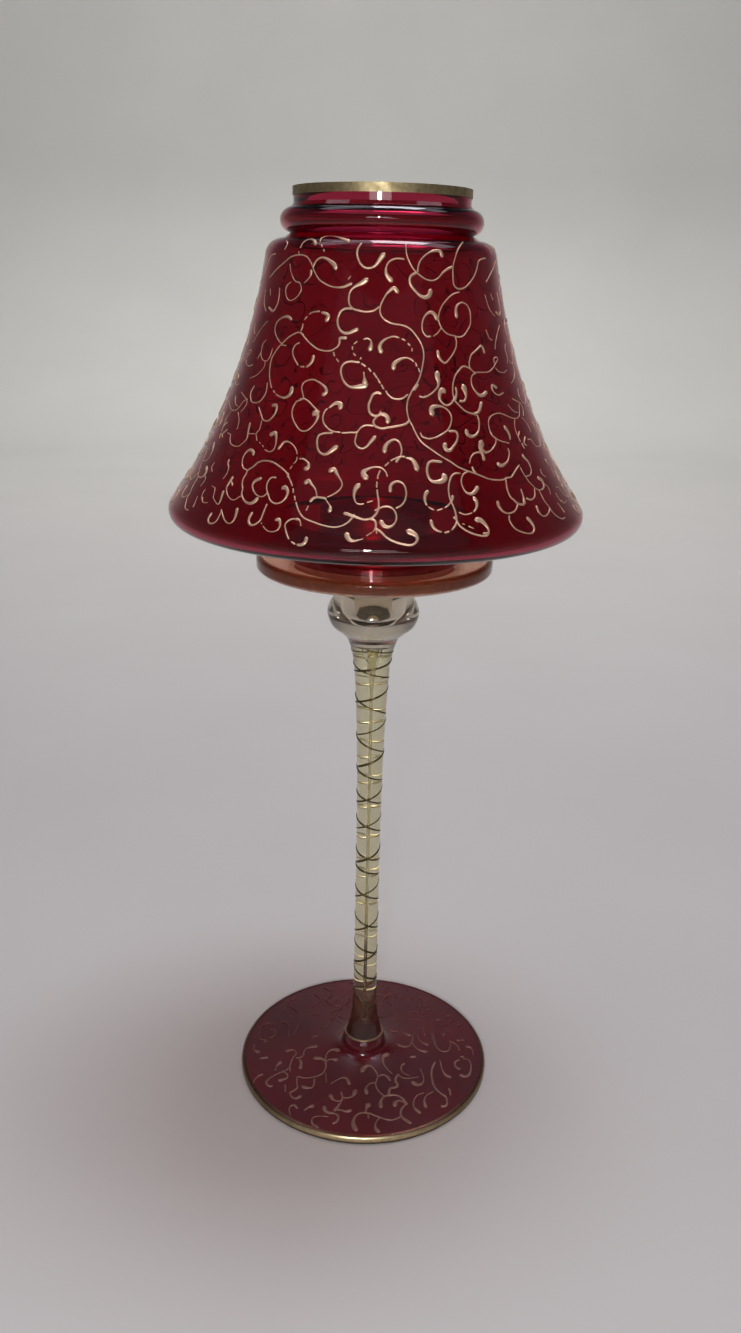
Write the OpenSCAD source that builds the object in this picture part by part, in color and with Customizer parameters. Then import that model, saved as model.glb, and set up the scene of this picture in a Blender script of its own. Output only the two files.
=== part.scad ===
// Tea light holder: a ruby bell shade standing on a clear stemmed dish with a ruby foot
// The axis is Z, and the foot stands on Z = 0

/* [Foot] */
// Diameter of the ruby foot over its gold edge
foot_d = 99; // [90:1:110]
// Thickness of the foot at its edge
foot_edge = 3.2; // [2.8:0.1:4]
// Depth of the shallow hollow under the foot
foot_hollow = 1.6; // [0.8:0.1:2]
// Height of the boss, where the clear stem starts
boss_h = 13.2; // [12:0.1:15]
// Diameter of the boss at its top
boss_d = 14.6; // [14:0.1:16]

/* [Stem] */
// Height at which the knop joins the stem
stem_top = 178.6; // [165:0.2:190]
// Diameter of the stem at its slim waist
waist_d = 9; // [8:0.1:10]
// Diameter of the stem under the knop
stem_head_d = 16.6; // [15:0.1:18]
// Diameter of the fine bore drawn through the stem
bore_d = 0.8; // [0.6:0.1:1.5]

/* [Knop and dish] */
// Widest diameter of the knop
knop_d = 32.6; // [30:0.1:35]
// Height of the knop
knop_h = 26.2; // [24:0.1:30]
// Diameter of the bubble inside the knop
bubble_d = 16; // [12:0.5:20]
// Diameter of the dish over its amber rim
dish_d = 82; // [78:0.5:90]
// Height from the foot of the dish to its floor
dish_h = 6; // [5:0.1:8]
// Height of the dish's rounded rim
rim_h = 4.6; // [4:0.1:5.5]

/* [Shade] */
// Height of the shade with its gold band
shade_h = 117.2; // [110:0.2:130]
// Widest diameter of the bell
bell_d = 140; // [130:1:150]
// Diameter of the open neck
neck_d = 56; // [54:0.5:60]
// Diameter of the collar that stands on the dish
collar_d = 60; // [58:0.5:62]
// Thickness of the blown wall
wall = 2; // [1.6:0.1:2.4]
// Height of the gold band at the mouth
band_h = 2.6; // [2:0.1:4]

/* [Tea light] */
// Diameter of the tea light's cup over its rolled edge
cup_d = 39; // [37:0.5:40]
// Height of the tea light's cup
cup_h = 16; // [14:0.5:18]
// Depth of the wax
wax_h = 12.5; // [8:0.5:13]

/* [Gold lines] */
// Turns that each gold line makes round the stem
line_turns = 11.7; // [8:0.1:14]
// Direction in which the two lines cross, counted from the right round to the back
line_cross_angle = -115; // [-180:5:180]
// Depth of the topmost crossing under the knop
line_cross_drop = 8; // [6:0.5:12]
// Width of a gold line
line_w = 0.9; // [0.6:0.1:1.2]
// Height of the enamel over the glass
enamel_h = 0.3; // [0.2:0.05:0.5]
// Waves of the scrolled vine in each row of the shade
vine_waves = 8; // [6:1:9]

/* [Hidden] */
$fn = 96;

// Levels of the joints between the pieces
knop_top = stem_top + knop_h;
floor_z = knop_top + dish_h;
shade_top = floor_z + shade_h;

// Foot
skin = 0.2;
foot_r = foot_d / 2 - skin;
rest_r = foot_r - 12;
low_round = 1;
high_round = foot_edge - 1.8;

// Dish
rim_r = dish_d / 2 - skin;
plate_r = rim_r - 2.6;
rim_round = 1.3;
rim_low = floor_z + 0.5 - rim_h;
rim_low_c = [rim_r - rim_round, rim_low + rim_round];
rim_high_c = [rim_r - rim_round, rim_low + rim_h - rim_round];
knop_neck_r = 12;

// Shade, from the mouth down
neck_r = neck_d / 2;
bell_r = bell_d / 2;
collar_r = collar_d / 2;
neck_h = 5.8;
bead_r = 3.9;
bead_z = shade_top - neck_h - bead_r;
shoulder_round = 5.6;
shoulder_r = neck_r + 8.8;
shoulder_z = bead_z - 10.8;
lip_round = 4.4;
lip_z = floor_z + 17.2;
lip_angle = 37;
collar_round = 4;
belly_z = floor_z + 11.8;

// Tea light
foil = 0.3;
gap = 0.3;
tab_r = 7;
tab_t = 0.3;
wick_r = 0.75;
wick_over = 3.5;
bush_r = 1.7;
bush_h = 3;
cup_r = cup_d / 2;
cup_wall_r = cup_r - 0.35;
wax_r = cup_wall_r - foil - gap;
wax_z = floor_z + foil;

// Points on an arc about [r, z], from one angle to another
function arc(c, radius, from, to, steps) = [
    for (i = [0 : steps])
        let (t = from + (to - from) * i / steps)
        [c[0] + radius * cos(t), c[1] + radius * sin(t)]
];

// Points on a cubic curve with two handles
function curve(a, b, c, d, steps) = [
    for (i = [0 : steps])
        let (t = i / steps, s = 1 - t)
        s * s * s * a + 3 * s * s * t * b + 3 * s * t * t * c + t * t * t * d
];

// Points on a smooth line through the given points
function through(p, steps) = [
    for (i = [0 : len(p) - 2])
        let (a = p[i], d = p[i + 1],
             before = i > 0 ? p[i - 1] : 2 * a - d,
             after = i < len(p) - 2 ? p[i + 2] : 2 * d - a,
             part = curve(a, a + (d - before) / 6, d - (after - a) / 6, d, steps))
        for (k = [(i > 0 ? 1 : 0) : steps]) part[k]
];

function unit(v) = v / norm(v);
function backwards(p) = [for (i = [len(p) - 1 : -1 : 0]) p[i]];
function heading(p, i) = unit(p[min(i + 1, len(p) - 1)] - p[max(i - 1, 0)]);

// The same outline, moved in by the wall's thickness
function inset(p, t) = [
    for (i = [0 : len(p) - 1])
        let (h = heading(p, i))
        p[i] + t * [h[1], -h[0]]
];

// Outlines as [radius, height], turned about the axis
foot_top = concat(
    arc([foot_r - high_round, foot_edge - high_round], high_round, 0, 90, 5),
    curve([foot_r - high_round - 0.4, foot_edge + 0.02], [28, foot_edge + 1.2],
          [boss_d / 2 + 2.9, foot_edge + 1.6], [boss_d / 2 + 1.6, boss_h - 5], 18),
    curve([boss_d / 2 + 1.55, boss_h - 4.6], [boss_d / 2 + 1.4, boss_h - 2.8],
          [boss_d / 2 + 0.6, boss_h - 1.6], [boss_d / 2, boss_h], 6)
);
foot_under = [
    for (i = [0 : 6])
        let (r = rest_r * i / 6)
        [r, foot_hollow * (1 - pow(r / rest_r, 2))]
];
stem_side = through([
    [boss_d / 2, boss_h], [boss_d / 2 - 0.8, boss_h + 2.8], [waist_d / 2 + 1, boss_h + 7.3],
    [waist_d / 2 + 0.4, boss_h + 14], [waist_d / 2, boss_h + 32], [waist_d / 2, stem_top - 74],
    [waist_d / 2 + 0.4, stem_top - 44], [waist_d / 2 + 1.1, stem_top - 23],
    [waist_d / 2 + 1.9, stem_top - 9.6], [stem_head_d / 2 - 1, stem_top - 3.6],
    [stem_head_d / 2, stem_top]
], 4);
knop_side = through([
    [stem_head_d / 2, stem_top], [stem_head_d / 2 + 1.3, stem_top + 2.6],
    [knop_d / 2 - 4.1, stem_top + 5], [knop_d / 2 - 1.4, stem_top + 7.4],
    [knop_d / 2, stem_top + 11.4], [knop_d / 2 - 0.8, stem_top + 14.8],
    [knop_d / 2 - 2.7, stem_top + 18.4], [knop_neck_r + 0.2, stem_top + 22],
    [knop_neck_r, knop_top]
], 4);
bell_side = curve(
    [shoulder_r, shoulder_z],
    [shoulder_r + 4.7, shoulder_z - 25],
    [bell_r - 18.9, lip_z + 26.6],
    [bell_r - lip_round * (1 - cos(lip_angle)), lip_z + lip_round * sin(lip_angle)], 24
);
shade_side = concat(
    [[neck_r, shade_top - skin], [neck_r, bead_z + bead_r + 1]],
    arc([neck_r + 0.3, bead_z], bead_r, 84, -80, 12),
    arc([shoulder_r - shoulder_round, shoulder_z], shoulder_round, 88, 0, 7),
    bell_side,
    arc([bell_r - lip_round, lip_z], lip_round, lip_angle - 12, -96, 10),
    arc([collar_r + collar_round, belly_z - collar_round], collar_round, 90, 180, 6),
    [[collar_r, floor_z + 3], [collar_r, floor_z]]
);
shade_bore = inset(shade_side, wall);

// Surfaces as [height, radius] or [radius, height] tables
stem_table = [for (p = stem_side) [p[1], p[0]]];
bell_table = [for (p = backwards(bell_side)) [p[1], p[0]]];
foot_table = backwards(foot_top);

// A place on an upright turned surface, and the way out of it
function on_side(table, a, z) =
    let (r = lookup(z, table))
    [r * cos(a), r * sin(a), z];
function out_of_side(table, a, z) =
    let (slope = lookup(z + 0.5, table) - lookup(z - 0.5, table))
    unit([cos(a), sin(a), -slope]);

// The same on the foot's upper face, by angle and radius
function on_foot(a, r) = [r * cos(a), r * sin(a), lookup(r, foot_table)];
function out_of_foot(a, r) =
    let (slope = lookup(r + 0.5, foot_table) - lookup(r - 0.5, foot_table))
    unit([-slope * cos(a), -slope * sin(a), 1]);

// Three points across a stroke of enamel: two sunk in the glass and one on its crest
function stroke_ring(at, along, out, half_w) =
    let (side = unit(cross(out, along)))
    [at + half_w * side - 0.05 * out, at + enamel_h * out, at - half_w * side - 0.05 * out];

// A raised stroke of enamel along the places given
module stroke(at, out, half_w) {
    n = len(at);
    rings = [
        for (i = [0 : n - 1])
            each stroke_ring(at[i], at[min(i + 1, n - 1)] - at[max(i - 1, 0)], out[i], half_w[i])
    ];
    sides = [
        for (i = [0 : n - 2], k = [0 : 2])
            let (a = 3 * i + k, b = 3 * i + (k + 1) % 3)
            each [[a, b, b + 3], [a, b + 3, a + 3]]
    ];
    ends = [[2, 1, 0], [3 * n - 3, 3 * n - 2, 3 * n - 1]];
    polyhedron(points = rings, faces = concat(sides, ends), convexity = 10);
}

// A gold line wound round the stem, to the right or to the left
module stem_line(way) {
    steps = ceil(line_turns * 16);
    low = boss_h + 8;
    high = stem_top - 3;
    degrees = way * 360 * line_turns / (high - low);
    crossing = stem_top - line_cross_drop;
    heights = [for (i = [0 : steps]) low + (high - low) * i / steps];
    places = [for (z = heights) [line_cross_angle + degrees * (z - crossing), z]];
    at = [for (p = places) on_side(stem_table, p[0], p[1])];
    out = [for (p = places) out_of_side(stem_table, p[0], p[1])];
    color("darkgoldenrod") stroke(at, out, [for (p = places) line_w / 2]);
}

// Places along a curl, as millimetres across and up from its eye, with its half width
function curl(size, way) = [
    for (i = [0 : 8])
        let (t = i / 8, r = size * (1 - 0.45 * t))
        [way * r * cos(250 * t - 60), r * sin(250 * t - 60), 0.4 + 0.55 * pow(t, 3)]
];

module foot() {
    color("maroon") rotate_extrude() polygon(concat(
        foot_under,
        arc([foot_r - low_round, low_round], low_round, -90, 0, 6),
        foot_top,
        [[0, boss_h]]
    ));
}

module foot_gold_edge() {
    low = [foot_r - low_round, low_round];
    high = [foot_r - high_round, foot_edge - high_round];
    color("darkgoldenrod") rotate_extrude() polygon(concat(
        arc(low, low_round + skin, -30, 0, 2),
        arc(high, high_round + skin, 0, 90, 5),
        backwards(arc(high, high_round, 0, 90, 5)),
        backwards(arc(low, low_round, -30, 0, 2))
    ));
}

// Rings of curls on the foot's upper face
module foot_gold_scrolls() {
    rings = [[22, 8, 3.6], [31, 11, 4], [40, 14, 4]];
    color("rosybrown") for (ring = rings, i = [0 : ring[1] - 1]) {
        turn = 360 * i / ring[1];
        way = i % 2 == 0 ? 1 : -1;
        places = [
            for (c = curl(ring[2], way))
                let (r = ring[0] + c[1])
                [turn + c[0] / ring[0] * 180 / PI, r, c[2]]
        ];
        stroke([for (p = places) on_foot(p[0], p[1])],
               [for (p = places) out_of_foot(p[0], p[1])],
               [for (p = places) p[2]]);
    }
}

module stem() {
    bore = [
        [bore_d / 2, stem_top - 18], [bore_d, stem_top - 12],
        [bore_d + 0.9, stem_top - 5], [bore_d + 2, stem_top]
    ];
    color("wheat", 0.5) rotate_extrude() difference() {
        polygon(concat(stem_side, [[0, stem_top], [0, boss_h]]));
        polygon(concat([[0, boss_h + 6], [bore_d / 2, boss_h + 7]], through(bore, 3), [[0, stem_top]]));
    }
}

module stem_gold_line_right() {
    stem_line(1);
}

module stem_gold_line_left() {
    stem_line(-1);
}

// Gold line round the joint of the stem and the boss
module stem_gold_ring() {
    color("darkgoldenrod") rotate_extrude() difference() {
        translate([boss_d / 2, boss_h]) circle(r = line_w / 2, $fn = 24);
        polygon(concat(stem_side, [[0, stem_top], [0, boss_h]]));
        polygon(concat([[0, 0]], foot_top, [[0, boss_h]]));
    }
}

// Clear knop round a flat-bottomed bubble, which the dish closes
module knop() {
    bubble_z = stem_top + 9.4;
    color("wheat", 0.5) rotate_extrude() polygon(concat(
        [[0, stem_top]],
        knop_side,
        [[bubble_d / 2, knop_top]],
        arc([bubble_d / 2 - 2, bubble_z + 2], 2, 0, -90, 5),
        [[0, bubble_z]]
    ));
}

// Nearly flat dish with a rounded rim a little above its floor
module dish() {
    color("wheat", 0.5) rotate_extrude() polygon(concat(
        [[0, knop_top], [knop_neck_r + 2, knop_top], [plate_r - 8, rim_low - 0.3]],
        arc(rim_low_c, rim_round, -90, 0, 6),
        arc(rim_high_c, rim_round, 0, 90, 6),
        [[plate_r + 0.6, rim_low + rim_h], [plate_r, floor_z], [0, floor_z]]
    ));
}

// Brown-red stain round the rim of the dish
module dish_amber_rim() {
    color("saddlebrown", 0.8) rotate_extrude() polygon(concat(
        arc(rim_low_c, rim_round + skin, -90, 0, 6),
        arc(rim_high_c, rim_round + skin, 0, 90, 6),
        backwards(arc(rim_high_c, rim_round, 0, 90, 6)),
        backwards(arc(rim_low_c, rim_round, -90, 0, 6))
    ));
}

// Bell with a beaded neck, drawn in under its lip to the collar that stands on the dish
module shade_glass() {
    color("darkred", 0.8) rotate_extrude() polygon(concat(shade_side, backwards(shade_bore)));
}

module shade_gold_band() {
    color("darkgoldenrod") rotate_extrude() polygon([
        [neck_r, shade_top - band_h], [neck_r + skin, shade_top - band_h],
        [neck_r + skin, shade_top], [neck_r - wall, shade_top],
        [neck_r - wall, shade_top - skin], [neck_r, shade_top - skin]
    ]);
}

// Rows of a waving vine, with a curl in each bend
module shade_gold_scrolls() {
    round_trip = 359.5;
    rows = [[14, 10, 4.4], [32, 10, 4.2], [51, 10, 3.8], [70, 10, 3.4]];
    color("tan") for (row = rows) {
        level = lip_z + row[0];
        r = lookup(level, bell_table);
        steps = vine_waves * 10;
        vine = [
            for (i = [0 : steps])
                [round_trip * i / steps, level + row[1] / 2 * sin(360 * vine_waves * i / steps)]
        ];
        stroke([for (p = vine) on_side(bell_table, p[0], p[1])],
               [for (p = vine) out_of_side(bell_table, p[0], p[1])],
               [for (p = vine) 0.4]);
        for (i = [0 : 2 * vine_waves - 1]) {
            up = i % 2 == 0 ? -1 : 1;
            places = [
                for (c = curl(row[2], up))
                    [(i + 0.5) * 180 / vine_waves + c[0] / r * 180 / PI, level + up * (c[1] + 1.5), c[2]]
            ];
            stroke([for (p = places) on_side(bell_table, p[0], p[1])],
                   [for (p = places) out_of_side(bell_table, p[0], p[1])],
                   [for (p = places) p[2]]);
        }
    }
}

module tealight_cup() {
    color("silver") translate([0, 0, floor_z]) rotate_extrude() polygon([
        [0, 0], [cup_wall_r - 0.4, 0], [cup_wall_r, 0.4], [cup_wall_r, cup_h - 0.7],
        [cup_r, cup_h - 0.5], [cup_r, cup_h], [cup_wall_r - foil, cup_h],
        [cup_wall_r - foil, foil], [0, foil]
    ]);
}

module wax() {
    color("maroon") translate([0, 0, wax_z]) difference() {
        cylinder(r = wax_r, h = wax_h);
        translate([0, 0, -1]) cylinder(r = tab_r, h = 1 + tab_t);
        translate([0, 0, -1]) cylinder(r = bush_r, h = 1 + tab_t + bush_h, $fn = 48);
        translate([0, 0, -1]) cylinder(r = wick_r, h = wax_h + 2, $fn = 32);
    }
}

module wick() {
    color("white") translate([0, 0, wax_z + tab_t]) cylinder(r = wick_r, h = wax_h - tab_t + wick_over, $fn = 32);
}

// Tin tab with a bush that holds the wick up
module wick_tab() {
    color("silver") translate([0, 0, wax_z]) difference() {
        union() {
            cylinder(r = tab_r, h = tab_t);
            cylinder(r = bush_r, h = tab_t + bush_h, $fn = 48);
        }
        translate([0, 0, tab_t]) cylinder(r = wick_r, h = bush_h + 1, $fn = 32);
    }
}

foot();
foot_gold_edge();
foot_gold_scrolls();
stem();
stem_gold_line_right();
stem_gold_line_left();
stem_gold_ring();
knop();
dish();
dish_amber_rim();
shade_glass();
shade_gold_band();
shade_gold_scrolls();
tealight_cup();
wax();
wick();
wick_tab();
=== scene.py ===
import math

import bmesh
import bpy
from mathutils import Matrix, Vector
from mathutils.bvhtree import BVHTree


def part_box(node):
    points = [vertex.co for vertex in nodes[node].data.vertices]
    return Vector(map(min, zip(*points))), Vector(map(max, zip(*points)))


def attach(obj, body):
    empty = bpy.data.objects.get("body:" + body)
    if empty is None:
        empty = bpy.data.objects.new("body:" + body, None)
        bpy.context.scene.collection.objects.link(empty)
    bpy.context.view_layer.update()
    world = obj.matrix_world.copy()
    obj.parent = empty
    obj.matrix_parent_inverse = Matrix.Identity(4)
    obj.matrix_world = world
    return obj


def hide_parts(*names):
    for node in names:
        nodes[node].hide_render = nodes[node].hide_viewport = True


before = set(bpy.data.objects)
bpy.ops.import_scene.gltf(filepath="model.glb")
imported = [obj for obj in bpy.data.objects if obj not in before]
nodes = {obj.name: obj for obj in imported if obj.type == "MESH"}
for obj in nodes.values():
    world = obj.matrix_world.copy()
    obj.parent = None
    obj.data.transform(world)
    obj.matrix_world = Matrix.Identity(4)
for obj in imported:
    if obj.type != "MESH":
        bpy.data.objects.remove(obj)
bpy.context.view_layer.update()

# The photograph's frame, and the camera that took it
PHOTO_W, PHOTO_H = 741, 1333
FOCAL_PX = 1118
CAMERA_PLACE = Vector((-0.005907, -0.37913, 0.303456))
CAMERA_PITCH = math.radians(19.446)
CAMERA_ROLL = math.radians(1.264)
CAMERA_YAW = math.radians(-0.806)

MM = 0.001


# Camera
def camera_axes():
    """The camera's right, up and look directions."""
    right = Vector((math.cos(CAMERA_YAW), math.sin(CAMERA_YAW), 0))
    ahead = Vector((-math.sin(CAMERA_YAW), math.cos(CAMERA_YAW), 0))
    above = Vector((0, 0, 1))
    look = ahead * math.cos(CAMERA_PITCH) - above * math.sin(CAMERA_PITCH)
    up = ahead * math.sin(CAMERA_PITCH) + above * math.cos(CAMERA_PITCH)
    return right, up, look


def make_camera():
    right, up, look = camera_axes()
    turned_right = right * math.cos(CAMERA_ROLL) + up * math.sin(CAMERA_ROLL)
    turned_up = up * math.cos(CAMERA_ROLL) - right * math.sin(CAMERA_ROLL)
    axes = Matrix((turned_right, turned_up, -look)).transposed()
    data = bpy.data.cameras.new("camera")
    data.sensor_width = 36
    data.lens = FOCAL_PX * data.sensor_width / PHOTO_H
    data.clip_start = 0.01
    data.clip_end = 50
    camera = bpy.data.objects.new("camera", data)
    camera.matrix_world = Matrix.Translation(CAMERA_PLACE) @ axes.to_4x4()
    bpy.context.scene.collection.objects.link(camera)
    bpy.context.scene.camera = camera


# Shader helpers
def new_material(name):
    material = bpy.data.materials.new(name)
    material.use_nodes = True
    tree = material.node_tree
    tree.nodes.clear()
    output = tree.nodes.new("ShaderNodeOutputMaterial")
    shader = tree.nodes.new("ShaderNodeBsdfPrincipled")
    tree.links.new(shader.outputs["BSDF"], output.inputs["Surface"])
    return material, tree, shader, output


def add(tree, kind, links=None, values=None, **settings):
    """Adds a node, sets its settings and values, and links the sockets that are given."""
    made = tree.nodes.new(kind)
    for key, value in settings.items():
        setattr(made, key, value)
    for key, value in (values or {}).items():
        made.inputs[key].default_value = value
    for key, socket in (links or {}).items():
        tree.links.new(socket, made.inputs[key])
    return made


def noise(tree, place, scale, detail=3.0, roughness=0.5):
    made = add(tree, "ShaderNodeTexNoise", {"Vector": place}, {"Scale": scale, "Detail": detail, "Roughness": roughness})
    return made.outputs["Fac"]


def remap(tree, value, low, high, to_low, to_high):
    values = {"From Min": low, "From Max": high, "To Min": to_low, "To Max": to_high}
    made = add(tree, "ShaderNodeMapRange", {"Value": value}, values)
    return made.outputs["Result"]


def blend_colours(tree, share, first, second):
    made = add(tree, "ShaderNodeMix", data_type="RGBA")
    tree.links.new(share, made.inputs["Factor"])
    for key, colour in ((6, first), (7, second)):
        if hasattr(colour, "default_value"):
            tree.links.new(colour, made.inputs[key])
        else:
            made.inputs[key].default_value = (*colour, 1)
    return made.outputs[2]


def bump(tree, shader, height, distance, strength=1.0):
    made = add(tree, "ShaderNodeBump", {"Height": height}, {"Distance": distance, "Strength": strength})
    tree.links.new(made.outputs["Normal"], shader.inputs["Normal"])


def lamps_through(tree, shader, output, tint):
    """Shadow rays pass the glass in its tint, so that lamps light what is behind it."""
    path = add(tree, "ShaderNodeLightPath")
    clear = add(tree, "ShaderNodeBsdfTransparent", values={"Color": (*tint, 1)})
    mix = add(tree, "ShaderNodeMixShader")
    tree.links.new(path.outputs["Is Shadow Ray"], mix.inputs[0])
    tree.links.new(shader.outputs["BSDF"], mix.inputs[1])
    tree.links.new(clear.outputs["BSDF"], mix.inputs[2])
    tree.links.new(mix.outputs["Shader"], output.inputs["Surface"])


def object_place(tree):
    return add(tree, "ShaderNodeTexCoord").outputs["Object"]


# Effects that several materials share
def new_group(name, inputs, outputs):
    """An empty shader node group with named sockets, each given as (name, kind, value)."""
    group = bpy.data.node_groups.new(name, "ShaderNodeTree")
    for label, kind, value in inputs:
        socket = group.interface.new_socket(label, in_out="INPUT", socket_type="NodeSocket" + kind)
        if value is not None:
            socket.default_value = value
    for label, kind in outputs:
        group.interface.new_socket(label, in_out="OUTPUT", socket_type="NodeSocket" + kind)
    return group, group.nodes.new("NodeGroupInput").outputs, group.nodes.new("NodeGroupOutput").inputs


def blown_surface():
    """Streaks of deeper colour, handling smears and slow waves of hand-blown glass."""
    inputs = [
        ("Place", "Vector", None),
        ("Clear", "Color", (1, 1, 1, 1)),
        ("Deep", "Color", (1, 1, 1, 1)),
        ("Polish", "Float", 0.0),
        ("Smear", "Float", 0.06),
    ]
    outputs = [("Colour", "Color"), ("Roughness", "Float"), ("Waves", "Float")]
    group, given, made = new_group("blown_surface", inputs, outputs)
    streaks = remap(group, noise(group, given["Place"], 28, 3), 0.35, 0.65, 0, 1)
    group.links.new(blend_colours(group, streaks, given["Clear"], given["Deep"]), made["Colour"])
    smears = remap(group, noise(group, given["Place"], 60, 4, 0.6), 0.5, 0.75, 0, 1)
    amount = add(group, "ShaderNodeMath", {0: smears, 1: given["Smear"], 2: given["Polish"]}, operation="MULTIPLY_ADD")
    group.links.new(amount.outputs[0], made["Roughness"])
    slow = noise(group, given["Place"], 45, 2)
    ripples = noise(group, given["Place"], 240, 1)
    waves = add(group, "ShaderNodeMath", {0: ripples, 2: slow}, {1: 0.15}, operation="MULTIPLY_ADD")
    group.links.new(waves.outputs[0], made["Waves"])
    return group


def gilding():
    """Fired gold: worn thin in clouds, with a fine grain from the brush and the kiln."""
    inputs = [
        ("Place", "Vector", None),
        ("Worn", "Color", (1, 1, 1, 1)),
        ("Full", "Color", (1, 1, 1, 1)),
        ("Smooth", "Float", 0.3),
        ("Rough", "Float", 0.5),
    ]
    outputs = [("Colour", "Color"), ("Roughness", "Float"), ("Grain", "Float")]
    group, given, made = new_group("gilding", inputs, outputs)
    clouds = remap(group, noise(group, given["Place"], 350, 4, 0.65), 0.32, 0.68, 0, 1)
    group.links.new(blend_colours(group, clouds, given["Worn"], given["Full"]), made["Colour"])
    shine = add(group, "ShaderNodeMapRange", {"Value": clouds, "To Min": given["Rough"], "To Max": given["Smooth"]})
    group.links.new(shine.outputs["Result"], made["Roughness"])
    group.links.new(noise(group, given["Place"], 1200, 3), made["Grain"])
    return group


def place_group(tree, name, make, colours, numbers):
    """Places a shared group, which is built at its first use, on object coordinates."""
    group = bpy.data.node_groups.get(name) or make()
    used = tree.nodes.new("ShaderNodeGroup")
    used.node_tree = group
    tree.links.new(object_place(tree), used.inputs["Place"])
    for key, colour in colours.items():
        used.inputs[key].default_value = (*colour, 1)
    for key, number in numbers.items():
        used.inputs[key].default_value = number
    return used.outputs


# Glass
# Ruby tint: the glass's own colour, made darker as painted shade for the shadowed wall seen through the bell, its blue
# partly a painted violet sheen
RUBY_WITH_SHADE = (0.45, 0.024, 0.07)
RUBY_WITH_SHADE_DEEP = (0.37, 0.015, 0.05)
# Champagne tint of the stem: the glass's own colour, made darker and more olive as painted shade for the shadowed wall
# seen through it
CHAMPAGNE_WITH_SHADE = (0.75, 0.71, 0.5)
CHAMPAGNE_WITH_SHADE_DEEP = (0.7, 0.65, 0.43)
# Dish tint: partly the glass's own colour, partly painted shade for the shadowed wall seen through it
DISH_TINT_AND_SHADE = (0.86, 0.6, 0.42)
DISH_TINT_AND_SHADE_DEEP = (0.76, 0.47, 0.31)
AMBER = (0.44, 0.21, 0.12)
AMBER_DEEP = (0.34, 0.14, 0.07)
# Heights above the rim's lowest edge where its brown-red colour begins and becomes full
RIM_BROWN_STARTS = 0.8 * MM
RIM_BROWN_FULL = 1.3 * MM


def blown_glass(name, colour, deep, polish, smear, wave, shadow, clarity=1.0):
    material, tree, shader, output = new_material(name)
    surface = place_group(tree, "blown_surface", blown_surface, {"Clear": colour, "Deep": deep},
                          {"Polish": polish, "Smear": smear})
    tree.links.new(surface["Colour"], shader.inputs["Base Color"])
    tree.links.new(surface["Roughness"], shader.inputs["Roughness"])
    shader.inputs["Transmission Weight"].default_value = clarity
    shader.inputs["IOR"].default_value = 1.5
    bump(tree, shader, surface["Waves"], wave * MM, 0.6)
    lamps_through(tree, shader, output, shadow)
    return material


def ruby_glass():
    return blown_glass("ruby_glass", RUBY_WITH_SHADE, RUBY_WITH_SHADE_DEEP, 0.015, 0.05, 0.05, (0.6, 0.08, 0.08))


def clear_glass():
    return blown_glass("clear_glass", CHAMPAGNE_WITH_SHADE, CHAMPAGNE_WITH_SHADE_DEEP, 0.0, 0.04, 0.03, (0.96, 0.94, 0.88), 0.985)


def knop_glass():
    """The knop: nearly colourless, with a touch of pink, its tint made darker as painted shade for the shadowed wall
    seen through it.
    """
    return blown_glass("knop_glass", (0.72, 0.65, 0.54), (0.66, 0.58, 0.46), 0.0, 0.04, 0.03, (0.96, 0.94, 0.9), 0.985)


def tint_and_shade_dish_glass():
    """The dish: clear glass under a thin brown-pink tint, partly its own colour and partly painted shade for the
    shadowed wall seen through it.
    """
    return blown_glass("tint_and_shade_dish_glass", DISH_TINT_AND_SHADE, DISH_TINT_AND_SHADE_DEEP, 0.0, 0.05, 0.03, (0.9, 0.75, 0.65), 0.86)


def amber_glass():
    """The dish's rim: brown-red colour that stops short of the lowest edge."""
    material, tree, shader, output = new_material("amber_glass")
    surface = place_group(tree, "blown_surface", blown_surface, {"Clear": AMBER, "Deep": AMBER_DEEP},
                          {"Polish": 0.02, "Smear": 0.04})
    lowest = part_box("dish_amber_rim")[0][2]
    height = add(tree, "ShaderNodeSeparateXYZ", {0: object_place(tree)}).outputs["Z"]
    rim_brown = remap(tree, height, lowest + RIM_BROWN_STARTS, lowest + RIM_BROWN_FULL, 0, 1)
    colour = blend_colours(tree, rim_brown, (0.95, 0.88, 0.8), surface["Colour"])
    tree.links.new(colour, shader.inputs["Base Color"])
    tree.links.new(surface["Roughness"], shader.inputs["Roughness"])
    shader.inputs["Transmission Weight"].default_value = 0.92
    shader.inputs["IOR"].default_value = 1.5
    bump(tree, shader, surface["Waves"], 0.03 * MM, 0.6)
    lamps_through(tree, shader, output, (0.75, 0.45, 0.25))
    return material


def satin_ruby_glass():
    """The foot: satin on the disc, glossy on the boss in its middle."""
    material, tree, shader, output = new_material("satin_ruby_glass")
    place = object_place(tree)
    flat = add(tree, "ShaderNodeVectorMath", {0: place}, {1: (1, 1, 0)}, operation="MULTIPLY")
    radius = add(tree, "ShaderNodeVectorMath", {0: flat.outputs["Vector"]}, operation="LENGTH")
    on_disc = remap(tree, radius.outputs["Value"], 8.5 * MM, 14 * MM, 0, 1)
    surface = place_group(tree, "blown_surface", blown_surface, {"Clear": (0.12, 0.007, 0.012), "Deep": (0.07, 0.004, 0.008)},
                          {"Polish": 0.3, "Smear": 0.12})
    tree.links.new(blend_colours(tree, on_disc, (0.1, 0.006, 0.011), surface["Colour"]), shader.inputs["Base Color"])
    rough = add(tree, "ShaderNodeMix", {"Factor": on_disc, "B": surface["Roughness"]}, {"A": 0.12}, data_type="FLOAT")
    tree.links.new(rough.outputs[0], shader.inputs["Roughness"])
    shader.inputs["Transmission Weight"].default_value = 0.25
    shader.inputs["IOR"].default_value = 1.5
    bump(tree, shader, noise(tree, place, 900, 2), 0.03 * MM, 0.4)
    return material


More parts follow.
